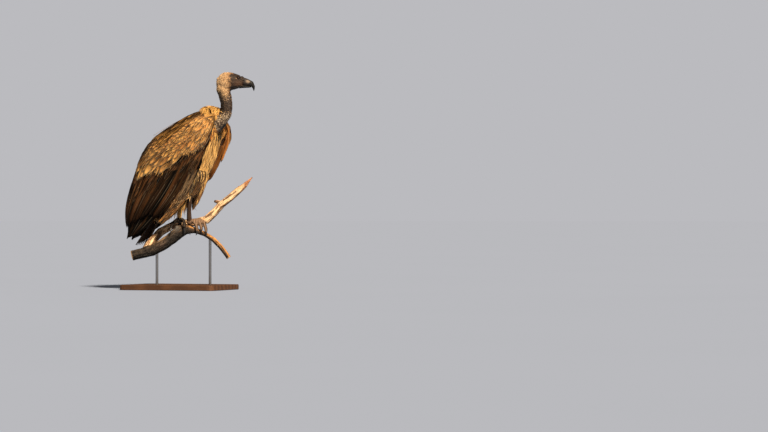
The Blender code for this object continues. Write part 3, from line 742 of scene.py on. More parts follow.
def makeCoverts(hand):
    rng = np.random.default_rng(11 if hand > 0 else 12)
    found = []
    offset, length, widest = -0.004, coverts["length"][0], coverts["width"][0]
    width = widest
    while offset < 0.50:
        angle = wing["front"] - 0.02
        while angle < wing["back"] + 0.02:
            tip = goldEdge(angle) + offset + rng.uniform(-1, 1) * coverts["ragged"] * width / widest
            if tip >= coverts["high"]:
                angle += 0.05
                continue
            here = min(tip + 0.02, coverts["high"])
            here = wingPoint(np.array(here), np.array((angle, angle + 0.05)), 0.0, hand)
            found.append((tip, min(tip + length * rng.uniform(0.92, 1.1), wing["top"]),
                          angle + rng.normal(0, 0.045), angle + rng.normal(0, 0.03) - 0.10 * length / 0.1,
                          0.0045, rng.uniform(-0.0026, 0.0014), width * rng.uniform(0.70, 1.15),
                          rng.normal(0, 0.22)))
            angle += width / max(np.linalg.norm(here[1] - here[0]) / 0.05, 0.02)
        offset += max(length * 0.25, 0.012)
        length = max(length * coverts["shrink"], coverts["length"][1])
        width = max(width * coverts["shrink"], coverts["width"][1])
    rows = dict(zip(rowKeys, np.array(found).T))
    rows["chance"] = rng.uniform(0, 1, len(found))
    rows["tint"] = covertTints(rows["up1"], rows["angle1"], hand, rng)
    piece = wingVanes(f"wing{hands[hand]}CovertFeathers", hand, rows, rings=7,
                      shapeOf=bladeShape(0.50, 0.40), thick=0.0009, cup=0.22, jag=0.16, seed=21 + hand)
    keep(piece, "covert", [f"wing_{hands[hand].lower()}_coverts"])


def makeWisps(hand):
    # loose thin plumes over the coverts
    rng = np.random.default_rng(15 + hand)
    count = coverts["wisps"]
    angle = rng.uniform(wing["front"] - 0.02, wing["back"], count)
    up = goldEdge(angle) - 0.015 + (coverts["high"] - goldEdge(angle)) * rng.uniform(0, 1, count)
    length = coverts["wispLength"] * rng.uniform(0.6, 1.3, count)
    rows = dict(up1=up, up0=np.minimum(up + length, wing["top"]), angle1=angle + rng.normal(0, 0.05, count),
                angle0=angle - 0.04, depth0=np.full(count, 0.0030),
                depth1=rng.uniform(-0.0012, 0.0006, count),
                roll=rng.normal(0, 0.4, count), width=coverts["wispWidth"] * rng.uniform(0.6, 1.4, count),
                chance=rng.uniform(0, 1, count))
    tint = covertTints(up, angle, hand, rng)
    dark = rng.uniform(0, 1, (count, 1)) < 0.45 + 0.50 * smooth(0.70, 0.86, backShare(angle))[:, None]
    rows["tint"] = lerp(tint, np.where(dark, plumes["umber"], plumes["covertLight"]), 0.6)
    piece = wingVanes(f"wing{hands[hand]}Wisps", hand, rows, rings=6, shapeOf=bladeShape(0.8, 0.4),
                      thick=0.0007, cup=0.2, jag=0.2, seed=25 + hand)
    keep(piece, "covert")


def makeBrowns(hand):
    # the long brown coverts that lie over the flight feathers; the left wing's front edge is painted golden,
    # as if lit by the sun
    rng = np.random.default_rng(45 + hand)
    found, low = [], []
    for row, offset in enumerate(coverts["brownRows"]):
        angle = wing["front"] - 0.01
        while angle < wing["back"]:
            tip = goldEdge(angle) + offset + rng.uniform(-0.016, 0.016)
            tip = max(tip, flightTip(angle, hand) + 0.045 + rng.uniform(0, 0.03))
            length = coverts["brownLength"] * rng.uniform(0.85, 1.1)
            found.append((tip, min(tip + length, coverts["high"]), angle + rng.normal(0, 0.07),
                          angle + rng.normal(0, 0.03) - 0.09, 0.0060 + 0.0006 * row,
                          0.0022 + 0.0008 * row + rng.uniform(-0.0006, 0.0006),
                          coverts["brownWidth"] * rng.uniform(0.7, 1.15), rng.normal(0.0, 0.22)))
            low.append(row / 4)
            angle += 0.125 * rng.uniform(0.7, 1.3)
    rows = dict(zip(rowKeys, np.array(found).T))
    low, count = np.array(low), len(low)
    cloud, share = wingPatches(rows["up1"], rows["angle1"], hand)
    dark = 0.20 + 0.45 * low + 0.8 * cloud + rng.normal(0, 0.40, count) + 0.85 * smooth(0.38, 0.24, share)
    # the front edge painted lighter, strongly on the far (left) wing: painted light
    front = smooth(0.34, 0.12, share) * (0.75 if hand > 0 else 0.10)
    tint = painted(plumes["brown"], (np.clip(dark, 0, 1.25), plumes["umber"]),
                   (front * rng.uniform(0.4, 1, count), srgb(196, 122, 54)))
    rows["chance"] = rng.uniform(0, 1, count)
    # the far (left) wing's front lobe painted amber: painted light, as if the sun lit it
    lobe = (hand > 0) & (share < 0.26)
    litAmber = painted(srgb(232, 152, 66), (varied(rng, 0.30, 0.30, count), srgb(150, 84, 34)),
                    (0.6 * low, srgb(158, 96, 46)))
    rows["tint"] = np.where(lobe[:, None], litAmber, tint)
    for layer, mask, finish, sunk in (("Brown", ~lobe, "brown", 0.012), ("Lobe", lobe, "lobe", 0.007)):
        if mask.any():
            chosen = {key: value[mask] for key, value in rows.items()}
            piece = wingVanes(f"wing{hands[hand]}{layer}Feathers", hand, chosen, rings=9, sunk=sunk,
                              shapeOf=bladeShape(0.42, 0.30), thick=0.0010, cup=0.16, jag=0.12,
                              seed=47 + hand)
            keep(piece, finish)


def makeFlight(hand):
    rng = np.random.default_rng(31 if hand > 0 else 32)
    for layer, node, count, angles, width in (
            ("Secondary", "secondaries", 25, (wing["front"] + 0.03, wing["back"]), 0.0165),
            ("Primary", "primaries", 11, (math.radians(64), math.radians(140)), 0.0150)):
        inner = layer == "Secondary"
        parts = []
        for deck in (0, 1):
            amount = count - 5 * deck
            share = np.linspace(0, 1, amount)
            angle = lerp(*angles, share)
            if inner:
                tip = flightTip(angle, hand) + 0.012 * deck + rng.uniform(0, 0.018, amount)
                base = lerp(*wing["covertEdge"], backShare(angle)) + 0.03
                depth0, depth1 = 0.0062 + 0.0050 * deck, 0.0045 + 0.0055 * deck
            else:
                tip = -0.060 + 0.05 * (1 - share) ** 2 + 0.02 * deck + rng.uniform(0, 0.014, amount)
                base = np.full(amount, 0.165)
                depth0, depth1 = 0.0185 + 0.005 * deck, 0.0175 + 0.005 * deck
            dark = clip01(rng.normal(0.50, 0.40, amount) + 0.35 * deck + 0.9 * (not inner))
            # the far (left) wing's front secondaries painted lighter brown: painted light, as if the sun lit
            # them
            front = smooth(0.30, 0.10, share) * (hand > 0) * inner * rng.uniform(0.5, 0.9, amount)
            tint = painted(plumes["flight"], (dark, plumes["black"]), (front, plumes["covertDeep"]))
            parts.append(dict(
                up0=base, up1=tip, angle0=angle - 0.02, angle1=angle + rng.normal(0, 0.035, amount),
                depth0=np.full(amount, depth0), depth1=depth1 + rng.uniform(-0.0008, 0.0008, amount),
                width=width * rng.uniform(0.85, 1.10, amount), roll=rng.normal(0.0, 0.10, amount),
                chance=rng.uniform(0, 1, amount), tint=tint))
        rows = {key: np.concatenate([part[key] for part in parts]) for key in parts[0]}
        piece = wingVanes(f"wing{hands[hand]}{layer}Feathers", hand, rows, rings=16, across=5, sunk=0.010,
                          shapeOf=bladeShape(0.33, 0.12), thick=0.0012, cup=0.10, jag=0.08, seed=41)
        keep(piece, "flight", [f"wing_{hands[hand].lower()}_{node}"])


finishes.update({
    "covert": featherFinish("covertPlumes", 0.50, 0.50, 0.75, 0.30, rootShade=0.8),
    "brown": featherFinish("brownPlumes", 0.50, 0.45, 0.65, 0.55, rootShade=0.9, tipDarkAndShade=0.3,
                           rimColour=(0.50, 0.30, 0.14), gloss=0.08),
    "lobe": featherFinish("lobePlumes", 0.45, 0.40, 0.75, 0.30, rootShade=0.25, tipDarkAndShade=0.15),
    "flight": featherFinish("flightPlumes", 0.60, 0.16, 0.65, 0.55, rootShade=0.3, tipDarkAndShade=0.97,
                            rimColour=(0.40, 0.23, 0.10), gloss=0.05),
})
for hand in hands:
    makeCoverts(hand)
    makeWisps(hand)
    makeBrowns(hand)
    makeFlight(hand)
print("wings feathered")

# the skin: one closed form under the coat, bare on the face, neck and feet
toes = ("outer", "middle", "inner", "hind")
skin = {
    "flesh": ["trunk", "ruff", "neck_lower", "thigh_left", "thigh_right", "wing_left_coverts",
              "wing_right_coverts"],
    "depth": (0.009, 0.014, 0.003, 0.008, 0.008, 0.0065, 0.0065),  # how deep the skin lies under each solid
    "head": ["head", "neck_upper", "neck_lower"],
    "legs": [f"{part}_{side}" for side in ("left", "right") for part in ("tarsus", "foot")]
            + [f"toe_{side}_{toe}" for side in ("left", "right") for toe in toes],
    "closing": 0.004,  # hollows narrower than twice this are filled, and at the nape twice the filling
    "filling": 0.007,
    "eye": (0.0510, 0.0125),
    "opening": 0.0060,
    "lidDepth": 0.0120,
    "voxels": {"body": 0.005, "head": 0.00165, "legs": 0.0017},
}


def toHead(places):
    # along the bill, up, and out to the head's left
    out = places - np.array(bird["head"])
    return out @ perchAlong, out[:, 2], out @ headSide


def cropMarks(run, rise):
    # the slanting black band on the crop, the crop's own dark patch and also painted shade of the hollow
    # between the far wing and the neck, and the rust streak behind it
    band = bump((run - 0.132) * 0.837 - (rise - 0.400) * 0.547, 0.004, 0.0105) * smooth(0.378, 0.392, rise)
    rust = bump((run - 0.100) * 0.90 - (rise - 0.385) * 0.43, 0.0, 0.0085) * smooth(0.375, 0.390, rise)
    return clip01(band * 1.5) * smooth(0.462, 0.452, rise), clip01(rust * 1.3) * smooth(0.452, 0.442, rise)


def drop(mesh, depth):
    setPoints(mesh, points(mesh) - normals(mesh) * np.reshape(depth, (-1, 1)))


def lowered(along):
    # the bill's end hangs a little under the head's own line
    return 0.110 * np.maximum(along - 0.030, 0)


def carried(places):
    # the head as it is carried: bill lowered, neck curved forward, back of the head drawn in
    along, height, _ = toHead(places)
    forward = 0.0055 * smooth(-0.03, -0.07, height) * smooth(-0.175, -0.145, height)
    forward = forward + 0.0042 * smooth(-0.014, -0.040, along) * smooth(-0.05, -0.03, height)
    down = lowered(along) + 0.0020 * smooth(-0.005, -0.035, along) * smooth(0.0, 0.02, height)
    return places + np.multiply.outer(forward, perchAlong) - np.multiply.outer(down, upright)


def napeShare(along, height, blotch=0.0):
    # the dark line down the nape: painted shade along the neck's back edge, where the down is also thinner
    line = np.interp(height, (-0.20, -0.13, -0.10, -0.06, -0.02), (-0.05, -0.027, -0.025, -0.036, -0.044))
    dark = smooth(0.026, 0.013, along - line + 0.006 * blotch)
    return dark * smooth(-0.030, -0.046, height + blotch * 0.01) * smooth(-0.145, -0.120, height)


def headTints(places):
    along, height, _ = toHead(places)
    height = height + lowered(along)
    blotch = speckle(places, 130) * 0.5 + speckle(places, 300, 5) * 0.5
    fine = speckle(places, 250, 9)
    face, buff, cream = srgb(43, 29, 21), srgb(164, 122, 82), srgb(206, 170, 126)
    dusk, dark = srgb(38, 27, 24), srgb(18, 13, 12)
    crown = 0.5 * np.maximum(height - 0.022, 0)
    rear = smooth(0.022, 0.006, along + blotch * 0.030 - crown - 0.010 * smooth(0.020, 0.034, height))
    back = painted(buff, (smooth(-0.2, 0.3, blotch + fine * 0.5), cream),
                   (0.75 * smooth(0.05, 0.35, -blotch - fine * 0.4), srgb(112, 84, 60)))
    cheek = bump(np.hypot(along - 0.052, (height + 0.012) * 1.3), 0, 0.020) * (1 - rear)
    socket = bump(np.hypot((along - 0.052) * 0.6, height - 0.013), 0, 0.0085)
    slit = bump(np.hypot((along - 0.058) * 0.55, height - 0.0115 + 0.5 * (along - 0.055)), 0, 0.0036)
    lid = bump(np.hypot(along - 0.0440, height - 0.0095), 0, 0.0024)
    # painted shadow under the jaw
    jawShadow = smooth(-0.020, -0.030, height) * smooth(0.012, 0.03, along) * (height > -0.06)
    spots = smooth(0.05, 0.30, fine + blotch * 0.6)
    clear = 0.65 * smooth(-0.078, -0.092, height) * smooth(-0.140, -0.125, height)  # the plain dark stretch
    neck = painted(dusk, (spots * (0.80 - clear), srgb(176, 146, 118)))
    base = painted(srgb(70, 56, 46), (spots, srgb(198, 178, 150)))
    return painted(face, (rear, back), (0.55 * cheek, srgb(94, 66, 48)), (0.75 * socket, dark),
                   (0.9 * slit, dark), (clip01(1.2 * lid), srgb(158, 128, 98)), (0.92 * jawShadow, dark),
                   (smooth(-0.040, -0.080, height + blotch * 0.05), neck),
                   # painted shade along the nape's edge
                   (0.9 * napeShare(along, height, blotch), dark),
                   (0.85 * smooth(-0.134, -0.150, height), base))


def refine(mesh, near, cuts):
    # finer faces where near(places) is true
    form = bmesh.new()
    form.from_mesh(mesh)
    for _ in range(cuts):
        inside = near(np.array([v.co for v in form.verts]))
        edges = [e for e in form.edges if inside[e.verts[0].index] and inside[e.verts[1].index]]
        bmesh.ops.subdivide_edges(form, edges=edges, cuts=1, use_grid_fill=True, smooth=0.5)
        form.verts.index_update()
    form.to_mesh(mesh)
    form.free()
    mesh.update()


def eyeDistance(places):
    along, height, _ = toHead(places)
    return np.hypot((along - skin["eye"][0]) * 0.92, (height - skin["eye"][1]) * 1.12)


def shapeHead(mesh):
    refine(mesh, lambda places: eyeDistance(places) < 0.012, 2)
    places = points(mesh)
    along, height, side = toHead(places)
    r = eyeDistance(places)
    opening = skin["opening"]
    out = -0.0012 * bump(r, 0, 0.015)  # the socket's broad hollow
    out += 0.0016 * bump(r, opening + 0.0012, 0.0011)  # the lids' rim
    out -= 0.0010 * bump(r, opening + 0.0042, 0.0013)
    brow = np.hypot((along - 0.052) * 0.35, height - 0.0235)
    out += 0.0018 * bump(brow, 0, 0.0042)
    gape = np.interp(along, (0.034, 0.050, 0.072), (-0.0275, -0.0225, -0.0170))
    inMouth = smooth(0.032, 0.038, along)
    out -= 0.0016 * bump(height, gape, 0.0013) * inMouth
    out += 0.0008 * bump(height, gape - 0.0042, 0.0022) * inMouth
    ear = np.hypot(along - 0.006, height + 0.010)
    out += 0.0008 * bump(ear, 0.0050, 0.0016) - 0.0022 * bump(ear, 0, 0.0030)
    folds = np.sin(along * 900 + height * 260 + 3 * speckle(places, 60))
    out += 0.00055 * folds * bump(np.hypot(along - 0.020, (height + 0.030) * 0.8), 0, 0.016)
    wrinkles = np.sin(height * 760 + along * 140 + 4 * speckle(places, 45, 3))
    out += 0.0007 * wrinkles * smooth(-0.045, -0.075, height)
    # the nape runs on smoothly
    out += 0.0026 * bump(height, -0.0130, 0.0065) * smooth(-0.028, -0.040, along)
    out += 0.0005 * speckle(places, 220, 1) + 0.0003 * speckle(places, 500, 2)
    places = places + normals(mesh) * out[:, None]
    # the skin between the lids lies behind the eyeball
    sunk = smooth(opening, opening - 0.0012, r) * (np.abs(side) > skin["lidDepth"])
    side = lerp(side, np.sign(side) * skin["lidDepth"], sunk)
    places += np.multiply.outer(side - toHead(places)[2], headSide)
    setPoints(mesh, carried(places))


def makeSkin():
    voxels, filling = skin["voxels"], skin["filling"]
    body = fused(skin["flesh"], voxels["body"], 6, skin["closing"])
    drop(body, skin["closing"])
    envelope = treeOf(body)
    outer = body.copy()
    part = nearestPart(points(body), skin["flesh"])
    drop(body, blended(body, np.array(skin["depth"])[part], 8))
    head = fused(skin["head"], voxels["head"], 8, filling)
    drop(head, filling + 0.0004)
    shapeHead(head)
    legs = fused(skin["legs"], voxels["legs"], 2)
    drop(legs, 0.0004 - 0.0004 * speckle(points(legs), 330))
    whole = newObject("skin", body)
    joined = [newObject("joined", mesh) for mesh in (head, legs)]
    for thing in joined:
        step = whole.modifiers.new("join", "BOOLEAN")
        step.operation = "UNION"
        step.solver = "MANIFOLD"
        step.object = thing
    mesh = evaluated(whole, "skin")
    for thing in joined:
        bpy.data.objects.remove(thing)
    mesh.shade_smooth()
    return mesh, outer, envelope, head


def skinTints(mesh):
    places = points(mesh)
    owner = nearestPart(places, skin["flesh"] + skin["head"][:2] + skin["legs"])
    ruffed, brown, umber, neck = plumes["covertDeep"], plumes["brown"], plumes["umber"], srgb(80, 60, 50)
    bases = [ruffed, ruffed, srgb(70, 52, 46), brown, brown, umber, umber, neck, neck]
    # the legs are alike; what differs between them is painted light and shade: the far (left) tarsus light
    # golden as in sun, its foot and toes dark as in shade, the near tarsus dark as in shadow, the near foot
    # and toes lighter as lit
    bases += [srgb(236, 184, 112), srgb(58, 45, 36), srgb(62, 43, 30), srgb(128, 100, 78)]
    bases += [srgb(50, 39, 32)] * 4 + [srgb(146, 116, 92)] * 4
    colour = np.array(bases)[owner]
    bare = np.isin(owner, (2, 7, 8))
    colour[bare] = headTints(places[bare])
    band, _ = cropMarks(*fromPerch(places))
    onToe = owner >= len(bases) - 8
    reach = np.linalg.norm((places - feet) * (1, 1, 0.7), axis=1)
    scutes = smooth(-0.2, 0.75, np.sin(reach * 1150 + 2.5 * speckle(places, 90)))
    facing = normals(mesh)
    # painted shade on the toes' sides, where they face each other
    toeGapShade = smooth(0.45, 0.75, np.abs(facing @ perchAlong)) * smooth(0.9, 0.5, facing[:, 2])
    # the black crop band on the skin: its own dark patch, and painted shade of the hollow by the far wing
    return painted(colour, (band * np.isin(owner, (0, 1, 2)), plumes["black"]), (scutes * onToe * 0.8, 0.34),
                   (toeGapShade * onToe, 0.22))


def skinLook(start):
    place = objectPlace(start)
    pebbles = place.cells(620).between(0.0, 0.45)
    cloud = place.noise(160, 6.0)
    fibres = place.noise(900, 3.0)
    colour = attribute(start, "tint").shaded((0.35, 0.28, 0.25), (1 - pebbles) * 0.45)
    return {"Base Color": colour.tinted((1.0, 0.86, 0.70), fibres.between(0.55, 0.75) * 0.14),
            "Roughness": cloud * 0.25 + 0.42, "height": (pebbles * 0.6 + cloud * 0.8 + fibres * 0.3, 0.0006)}


finishes["skin"] = newFinish("bareSkin", skinLook, Specular_IOR_Level=0.18)
skinMesh, bodyShape, bodyTree, headShape = makeSkin()
storeTint(skinMesh, skinTints(skinMesh))
covered = [name for name in skin["flesh"] + skin["head"] + skin["legs"]
           if "coverts" not in name and name != "neck_lower"]
keep(newObject("skin", skinMesh), "skin", covered + ["neck_lower"])
print("skin made")

# the body's feathers
styles = {
    "breast": dict(length=0.088, width=0.0062, rings=9, rootDepth=0.007, tipDepth=-0.0006, wave=0.0026,
                   roll=0.30, stray=0.09, point=1.1, broad=0.32, thick=0.0008, cup=0.30, jag=0.22,
                   loose=0.18, spacing=0.0092),
    "ruff": dict(length=0.066, width=0.0046, rings=8, rootDepth=0.009, tipDepth=0.0012, wave=0.0034,
                 roll=0.50, stray=0.16, point=1.1, broad=0.30, thick=0.0007, cup=0.25, jag=0.3,
                 loose=0.30, spacing=0.0068),
    "mantle": dict(length=0.085, width=0.0066, rings=9, rootDepth=0.004, tipDepth=-0.0030, wave=0.0026,
                   roll=0.40, stray=0.08, point=1.0, broad=0.30, thick=0.0008, cup=0.25, jag=0.2, loose=0.12,
                   spacing=0.0110),
    "thigh": dict(length=0.052, width=0.0040, rings=7, rootDepth=0.006, tipDepth=-0.0010, wave=0.0030,
                  roll=0.50, stray=0.12, point=1.1, broad=0.30, thick=0.0007, cup=0.25, jag=0.3, loose=0.25,
                  spacing=0.0062),
    "wrist": dict(length=0.040, width=0.0080, rings=6, rootDepth=0.004, tipDepth=-0.0006, wave=0.0012,
                  roll=0.25, stray=0.12, point=0.5, broad=0.40, thick=0.0008, cup=0.20, jag=0.15, loose=0.05,
                  spacing=0.0090),
}
# plumes that hang free: where they spring from (along, near and up), which way they lie and how they sag
hanging = {
    "vent": dict(count=150, along=(-0.055, 0.020), near=(0.055, -0.050), rise=(0.135, 0.185), slope=0.35,
                 length=0.085, sizes=(0.6, 1.15), width=0.0042, way=(-0.55, 0.0, -1.0), stray=0.12, rings=8,
                 sag=(0.012, 0, 0), pale=plumes["straw"], deep=plumes["covertDeep"], shade=(0.35, 0.3),
                 seed=111),
    "hock": dict(count=240, along=(-0.010, 0.018), near=(0.040, 0.066), rise=(0.142, 0.168), slope=0.0,
                 length=0.062, sizes=(0.6, 1.2), width=0.0028,
                 way=perchNear - 0.90 * perchAlong - 0.50 * upright, stray=0.14, rings=7, sag=(0, 0, -0.008),
                 pale=srgb(250, 206, 146), deep=srgb(184, 120, 64), shade=(0.25, 0.35), seed=141),
}


def partOf(places):
    return nearestPart(places, skin["flesh"])


def makeBreast():
    def wanted(centres):
        return (partOf(centres) == 0) & (axisPlace(centres)[0] < 0.62)
    starts = scatter(bodyShape, styles["breast"]["spacing"], wanted, 51)
    rng = np.random.default_rng(52)
    run, rise = fromPerch(starts)
    shade = clip01(rng.normal(0.10, 0.24, len(starts)) + 0.5 * smooth(0.25, 0.12, axisPlace(starts)[0]))
    band, rust = cropMarks(run - 0.007, rise - 0.022)  # where the short plumes show
    short = smooth(0.385, 0.400, rise) * smooth(0.085, 0.095, run)  # the crop's plumes are short
    # the black crop band: the crop's own dark patch, and painted shade of the hollow by the far wing
    tints = painted(plumes["straw"], (shade, plumes["covertDeep"]), (0.4 * short, plumes["covertDeep"]),
                    (0.9 * rust, srgb(214, 120, 38)), (band, plumes["black"]))
    heading = np.tile((-0.30, 0.0, -1.0), (len(starts), 1))
    keep(bodyVanes("breastFeathers", styles["breast"], starts, heading, tints, 53, 1 - 0.62 * short),
         "breast")


def makeRuff():
    def wanted(centres):
        along, height, _ = toHead(centres)
        part = partOf(centres)
        behind = (along < -0.030) & (part == 1)  # none in front of the neck
        return behind | ((part == 2) & (height < -0.150) & (along < -0.014))
    starts = scatter(bodyShape, styles["ruff"]["spacing"], wanted, 61)
    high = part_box("ruff")[1]
    rng = np.random.default_rng(62)
    heading = unit(starts - np.array((high.x - 0.02, 0.0, high.z + 0.02))) + np.array((-0.25, 0.0, -0.6))
    tints = painted(plumes["gold"], (varied(rng, 0.10, 0.26, len(starts)), plumes["covertDeep"]))
    keep(bodyVanes("ruffFeathers", styles["ruff"], starts, heading, tints, 63), "ruff")


def makeCollar():
    # fluffy plumes that spring from round the neck's root, rise a little and fall back over the shoulders
    collar = {"count": 1500, "centre": (0.163, 0.498), "radius": (0.018, 0.040), "turn": (112, 248),
              "reach": 0.070, "rise": (0.030, 0.044), "fall": (0.050, 0.034), "width": 0.0027}
    rng = np.random.default_rng(131)
    count = collar["count"]
    t = np.linspace(0, 1, 8)
    turn = np.radians(rng.uniform(*collar["turn"], count))
    out = np.multiply.outer(np.cos(turn), perchAlong) + np.multiply.outer(np.sin(turn), headSide)
    root = perchPlace(collar["centre"][0], 0.0, collar["centre"][1])
    root = root + out * rng.uniform(*collar["radius"], count)[:, None]
    behind = smooth(0.1, -0.9, np.cos(turn))
    far = smooth(0.2, 0.8, np.sin(turn))  # the far side lies flatter and reaches lower
    root[:, 2] += rng.uniform(-0.022, 0.006, count)
    root[:, 2] -= 0.012 * far
    size = rng.uniform(0.55, 1.1, count)
    rise = (lerp(*collar["rise"], behind) * size * (1 - 0.55 * far))[:, None] * np.sin(math.pi * t * 0.66)
    fall = (lerp(*collar["fall"], behind) * size)[:, None] * t**1.6
    stretch = collar["reach"] * size * lerp(0.45, 1.0, behind)
    reach = (stretch * (1 + far * rng.uniform(-0.3, 1.0, count)))[:, None] * t
    spine = root[:, None] + out[:, None] * reach[..., None]
    spine[..., 2] += rise - fall
    spine += rng.normal(0, 0.0022, (count, 1, 3)) * t[:, None]
    outward = out[:, None] * 0.5 + upright + rng.normal(0, 0.3, (count, 1, 3)) + np.zeros_like(spine)
    tints = painted(plumes["gold"], (varied(rng, 0.05, 0.26, count), plumes["covertDeep"]))
    keep(vanes("collarFeathers", spine, outward, collar["width"] * rng.uniform(0.7, 1.3, count),
               bladeShape(1.0, 0.3)(t), tints, rng.uniform(0, 1, count), bodyUnwrap(root), seed=132),
         "ruff")


def makeMantle():
    # long plumes that fall from the shoulders and down the middle of the back
    def wanted(centres):
        up, _, _, turn = axisPlace(centres)
        return (up > 0.555) & (up < 0.64) & (turn > math.radians(62)) & (partOf(centres) != 1)
    starts = scatter(bodyShape, styles["mantle"]["spacing"], wanted, 65)
    rng = np.random.default_rng(66)
    _, _, left, turn = axisPlace(starts)
    spine = smooth(math.radians(125), math.radians(160), turn)
    heading = -axisUp + np.multiply.outer(np.sign(left) * (1 - spine) * 0.15, (0, 1, 0))
    shade = clip01(rng.normal(0.20, 0.28, len(starts)) + 0.35 * spine)
    tints = painted(lerp(plumes["gold"], plumes["covert"], 0.5), (shade, plumes["umber"]))
    keep(bodyVanes("mantleFeathers", styles["mantle"], starts, heading, tints, 67), "ruff")


def makeScapulars(hand):
    # narrow dark plumes with golden rims along the back's edge of each wing
    rng = np.random.default_rng(101 + hand)
    count = 120
    share = 1 - 0.42 * rng.uniform(0, 1, count) ** 1.3
    tip = rng.uniform(0.36, 0.53, count) - 0.04 * (1 - share)
    angle = lerp(wing["front"], wing["back"], share)
    rows = dict(up1=tip, up0=np.minimum(tip + rng.uniform(0.09, 0.13, count), wing["top"]),
                angle1=angle + rng.normal(0, 0.02, count), angle0=angle - 0.05, depth0=np.full(count, 0.001),
                depth1=rng.uniform(-0.0050, -0.0015, count), width=rng.uniform(0.0045, 0.0095, count),
                roll=rng.normal(0, 0.3, count), chance=rng.uniform(0, 1, count))
    rows["depth1"][:2] = -0.022  # two that stand off, as if lifted by wind
    rows["up1"][:2], rows["width"][:2] = (0.375, 0.395), 0.0030
    dark = np.clip(rng.normal(0.35, 0.4, count) + 0.6 * smooth(0.75, 0.95, share), 0, 1.1)
    rows["tint"] = painted(lerp(plumes["covert"], plumes["gold"], 0.5), (dark, plumes["umber"]))
    piece = wingVanes(f"wing{hands[hand]}Scapulars", hand, rows, rings=9, shapeOf=bladeShape(0.7, 0.35),
                      thick=0.0010, cup=0.2, jag=0.15, seed=103 + hand)
    keep(piece, "brown")


def makeFlank(hand):
    # loose plumes over the folded wing's lower front edge: greyish above, golden and brown below
    rng = np.random.default_rng(121 + hand)
    count = 150
    raised = 0.10 * (hand > 0)
    tip = raised + rng.uniform(0.105, 0.330, count)
    angle = wing["front"] + rng.uniform(-0.10, 0.11, count) + 0.5 * (hand > 0)
    rows = dict(up1=tip, up0=tip + rng.uniform(0.055, 0.100, count), angle1=angle,
                angle0=angle - rng.uniform(0, 0.10, count), depth0=np.full(count, 0.004),
                depth1=rng.uniform(-0.0040, 0.0010, count), width=rng.uniform(0.0028, 0.0052, count),
                roll=rng.normal(0, 0.4, count), chance=rng.uniform(0, 1, count))
    warm = painted(plumes["covert"], (varied(rng, 0.58, 0.45, count), plumes["umber"]))
    cool = painted(srgb(164, 128, 90), (varied(rng, 0.55, 0.42, count), plumes["umber"]))
    rows["tint"] = painted(warm, (smooth(0.19, 0.25, tip - raised), cool))
    piece = wingVanes(f"flank{hands[hand]}Feathers", hand, rows, rings=8, shapeOf=bladeShape(1.0, 0.3),
                      thick=0.0008, cup=0.25, jag=0.25, seed=123 + hand)
    keep(piece, "down")


def makeThigh(hand):
    part = skin["flesh"].index(f"thigh_{hands[hand].lower()}")
    starts = scatter(bodyShape, styles["thigh"]["spacing"], lambda centres: partOf(centres) == part,
                     71 + hand)
    count = len(starts)
    rng = np.random.default_rng(73 + hand)
    run, rise = fromPerch(starts)
    # the shank's pale streak at the back, a shadowed gap, and a brown fringe in front
    front = run - np.interp(rise, (0.10, 0.155, 0.21, 0.26), (0.020, 0.028, 0.048, 0.074))
    fringe = smooth(-0.004, 0.006, front)
    rear, fore = (unit(np.array(way)) for way in ((-0.60, 0.0, -1.0), (-0.28, 0.0, -1.0)))
    pale = painted(plumes["down"], (rng.uniform(0, 0.6, count), plumes["straw"]))
    brown = painted(srgb(178, 128, 78), (rng.uniform(0, 0.9, count), plumes["brown"]))
    # painted shade at the top of the thigh, under the breast
    high = 0.6 * smooth(0.19, 0.23, rise) * rng.uniform(0.3, 1, count)
    tints = painted(pale, (fringe, brown), (0.92 * bump(front, 0.002, 0.008), plumes["umber"]),
                    (high, plumes["umber"]))
    piece = bodyVanes(f"thigh{hands[hand]}Feathers", styles["thigh"], starts, painted(rear, (fringe, fore)),
                      tints, 75 + hand, scale=lerp(1.0, 0.35, smooth(0.165, 0.125, rise)))
    keep(piece, "down")


def makeHanging(kind):
    # the loose golden plumes behind the legs, or the pale tuft round the near hock
    style = hanging[kind]
    rng = np.random.default_rng(style["seed"])
    count = style["count"]
    along, near, up = (lerp(*style[key], rng.uniform(0, 1, count)) for key in ("along", "near", "rise"))
    root = perchPlace(along, near, 0.0)
    root[:, 2] += up + style["slope"] * along
    t = np.linspace(0, 1, style["rings"])
    way = unit(np.array(style["way"]) + rng.normal(0, style["stray"], (count, 3)))[:, None]
    length = (style["length"] * rng.uniform(*style["sizes"], count))[:, None]
    spine = root[:, None] + way * (length * t)[..., None] + np.multiply.outer(t**2, style["sag"])
    outward = unit(perchNear + rng.normal(0, 0.5, (count, 3)))[:, None] + np.zeros_like(spine)
    tints = painted(style["pale"], (varied(rng, *style["shade"], count), style["deep"]))
    keep(vanes(f"{kind}Feathers", spine, outward, style["width"] * rng.uniform(0.7, 1.3, count),
               bladeShape(1.1, 0.3)(t), tints, rng.uniform(0, 1, count), bodyUnwrap(root),
               seed=style["seed"] + 1), "down")


def makeWrists():
    def wanted(centres):
        up, _, _, turn = axisPlace(centres)
        return (partOf(centres) >= 5) & ((turn < wing["front"] + 0.05) | (up > 0.57))
    starts = scatter(bodyShape, styles["wrist"]["spacing"], wanted, 81)
    count = len(starts)
    rng = np.random.default_rng(82)
    shade = rng.uniform(0, 0.7, count)
    # the far (left) wrist feathers painted orange: painted light, as if the sun lit them
    tints = painted(plumes["covert"], (shade, plumes["covertDeep"]),
                    (0.8 * (starts[:, 1] > 0) * rng.uniform(0.5, 1, count), srgb(226, 146, 62)))
    piece = bodyVanes("wristFeathers", styles["wrist"], starts, np.tile(-axisUp, (count, 1)), tints, 83)
    keep(piece, "lobe")


